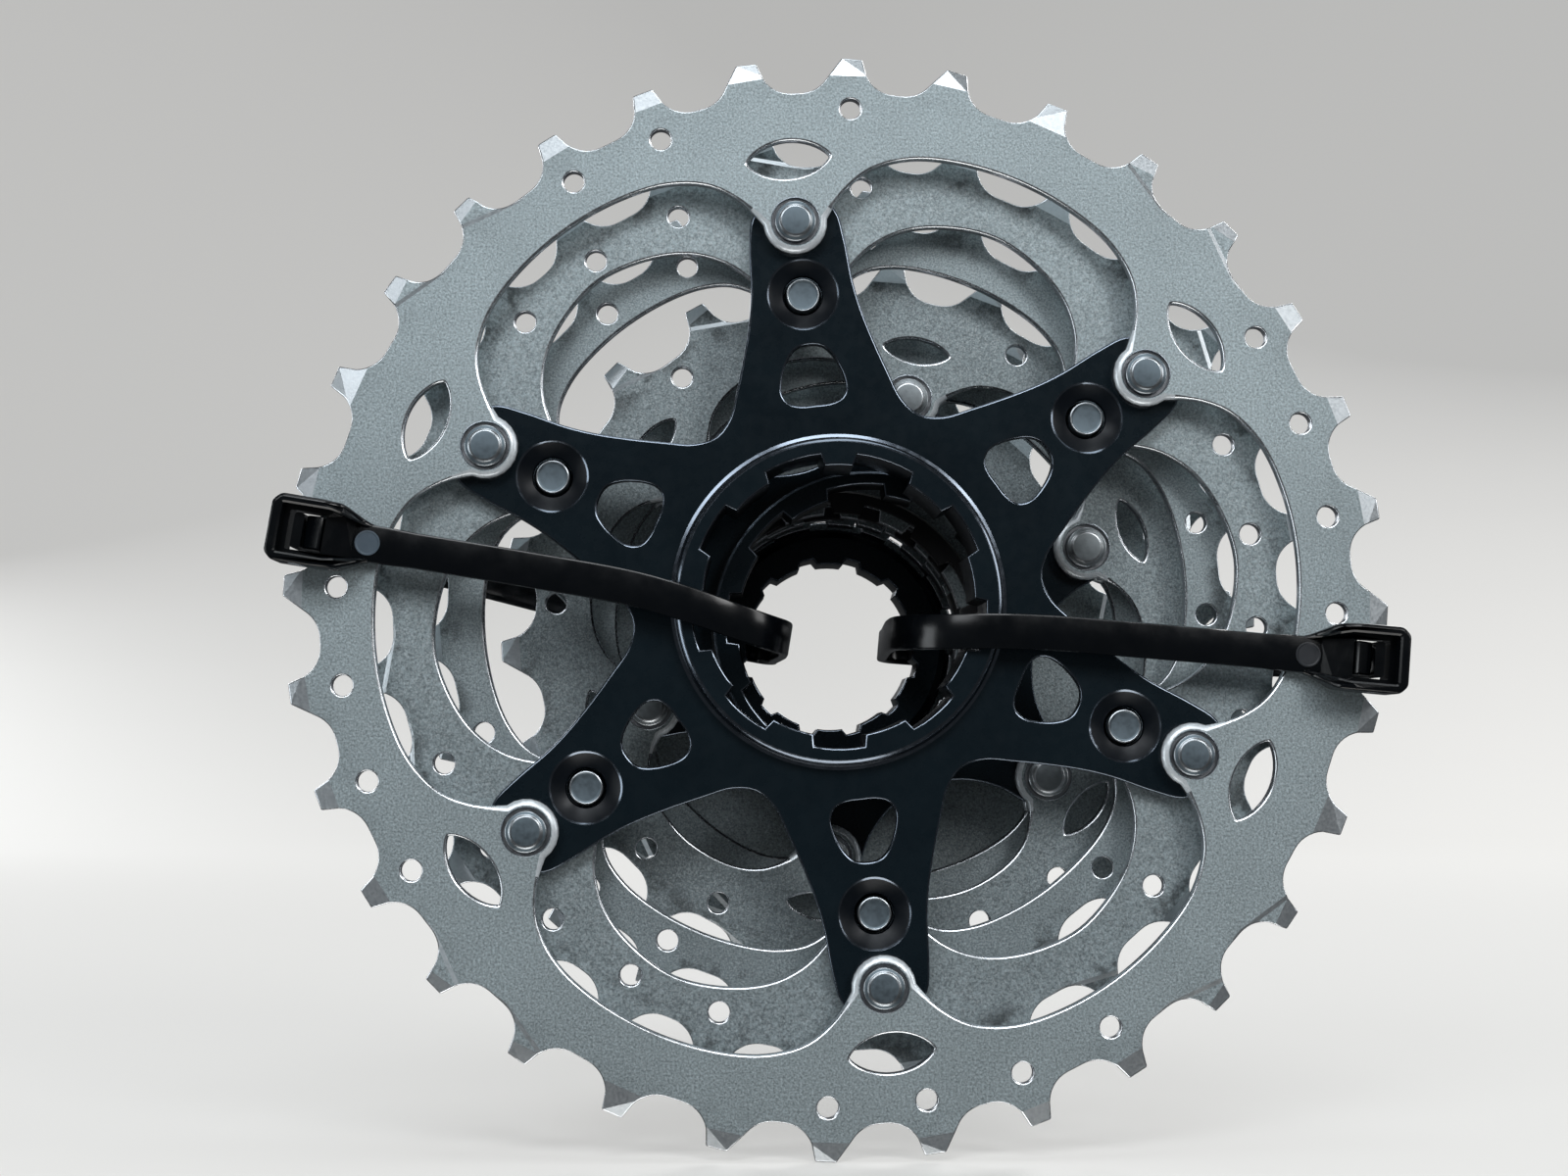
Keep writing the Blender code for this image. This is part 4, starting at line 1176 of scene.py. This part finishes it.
ringed_sprocket(32, OUTER_RIVET_R, PAD_R, LARGE_PHASE, "large_cluster", counterbore=True)
ringed_sprocket(28, INNER_RIVET_R, PAD_R, LARGE_PHASE, "large_cluster", counterbore=False)
ringed_sprocket(25, INNER_RIVET_R, PAD_R, LARGE_PHASE, "large_cluster", counterbore=False)
ringed_sprocket(22, SMALL_RIVET_R, SMALL_PAD_R, SMALL_PHASE, "small_cluster", counterbore=True)
ringed_sprocket(20, SMALL_RIVET_R, SMALL_PAD_R, SMALL_PHASE, "small_cluster", counterbore=False)
for count in TEETH[5:]:
    splined_sprocket(count, boss=count < 14)
for larger, smaller in ((20, 18), (18, 16), (16, 14)):
    spacer(larger, smaller)
large_carrier()
small_carrier()
rivets()
lockring()
for tie_name, tie_place in TIES.items():
    strap(tie_name, tie_place)
    tie_head(tie_name, tie_place)
    tie_pawl(tie_name, tie_place)
    gate_mark(tie_name, tie_place)


# ---- floor, backdrop, lights, camera
MIDDLE = (0.0, 0.02, 0.0)


def backdrop():
    """A round pale floor whose rim curves up into a wall, open at the top."""
    floor_z = cad_box[0][2]
    flat, bend, height, sides = 0.95, 0.55, 2.2, 96
    profile = [(0.0, 0.0), (0.3, 0.0), (flat, 0.0)]
    for k in range(1, 13):
        a = math.pi / 2 * k / 12
        profile.append((flat + bend * math.sin(a), bend * (1 - math.cos(a))))
    profile.append((flat + bend, height))
    mesh = bmesh.new()
    turns = [2 * math.pi * i / sides for i in range(sides)]
    rings = []
    for radius, z in profile:
        if radius == 0.0:
            rings.append([mesh.verts.new((0, 0.02, floor_z))])
            continue
        places = [(radius * math.cos(t), radius * math.sin(t), floor_z + z) for t in turns]
        rings.append([mesh.verts.new(place) for place in places])
    for i in range(sides):
        mesh.faces.new((rings[0][0], rings[1][i - 1], rings[1][i]))
        for a, b in zip(rings[1:], rings[2:]):
            mesh.faces.new((a[i - 1], b[i - 1], b[i], a[i]))
    for face in mesh.faces:
        face.smooth = True
    data = bpy.data.meshes.new("backdrop")
    mesh.to_mesh(data)
    mesh.free()
    data.materials.append(pale_paper())
    made = bpy.data.objects.new("backdrop", data)
    made.visible_glossy = made.visible_diffuse = made.visible_shadow = False
    bpy.context.scene.collection.objects.link(made)


def softbox(name, at, width, height, watts, colour):
    """A rectangular light that faces the bundle's middle and isn't seen itself."""
    light = bpy.data.lights.new(name, "AREA")
    light.shape = "RECTANGLE"
    light.size, light.size_y = width, height
    light.energy = watts
    light.color = colour
    made = bpy.data.objects.new(name, light)
    made.location = at
    made.rotation_mode = "QUATERNION"
    made.rotation_quaternion = (Vector(MIDDLE) - Vector(at)).to_track_quat("-Z", "Y")
    made.visible_camera = False
    bpy.context.scene.collection.objects.link(made)


def studio():
    backdrop()
    softbox("key", (-0.50, -0.90, 0.62), 0.5, 0.4, 3.0, (0.94, 0.97, 1.0))
    softbox("brow", (0.0, -0.85, 0.85), 0.5, 0.3, 3.4, (0.94, 0.97, 1.0))
    softbox("window", (0.62, -0.88, 0.52), 0.35, 0.35, 3.3, (1.0, 1.0, 1.0))
    softbox("right", (1.05, -0.15, 0.30), 0.35, 0.5, 2.2, (1.0, 1.0, 1.0))
    softbox("top", (0.1, -0.1, 1.2), 0.8, 0.5, 3.2, (0.92, 0.97, 1.0))
    softbox("left", (-1.10, -0.25, -0.05), 0.4, 0.7, 2.6, (0.92, 0.97, 1.0))
    softbox("under", (-0.10, -0.25, -1.0), 1.0, 0.4, 4.0, (1.0, 0.98, 0.95))
    softbox("rear", (0.6, 1.0, 0.7), 0.6, 0.5, 7.5, (1.0, 1.0, 1.0))
    softbox("rear_left", (-0.7, 1.0, 0.4), 0.5, 0.5, 5.0, (0.96, 0.98, 1.0))
    world = bpy.data.worlds.new("studio")
    world.use_nodes = True
    world.node_tree.nodes["Background"].inputs["Color"].default_value = (0.80, 0.84, 0.88, 1)
    world.node_tree.nodes["Background"].inputs["Strength"].default_value = 0.07
    bpy.context.scene.world = world
    bpy.context.scene.view_settings.view_transform = "Standard"


def camera():
    data = bpy.data.cameras.new("camera")
    data.lens, data.sensor_width = 52.01, 36.0
    data.clip_start = 0.02
    made = bpy.data.objects.new("camera", data)
    made.location = (-0.01413, -0.26539, -0.01832)
    made.rotation_mode = "QUATERNION"
    made.rotation_quaternion = Vector((0.02858, 0.99684, 0.07412)).to_track_quat("-Z", "Y")
    bpy.context.scene.collection.objects.link(made)
    bpy.context.scene.camera = made


studio()
camera()
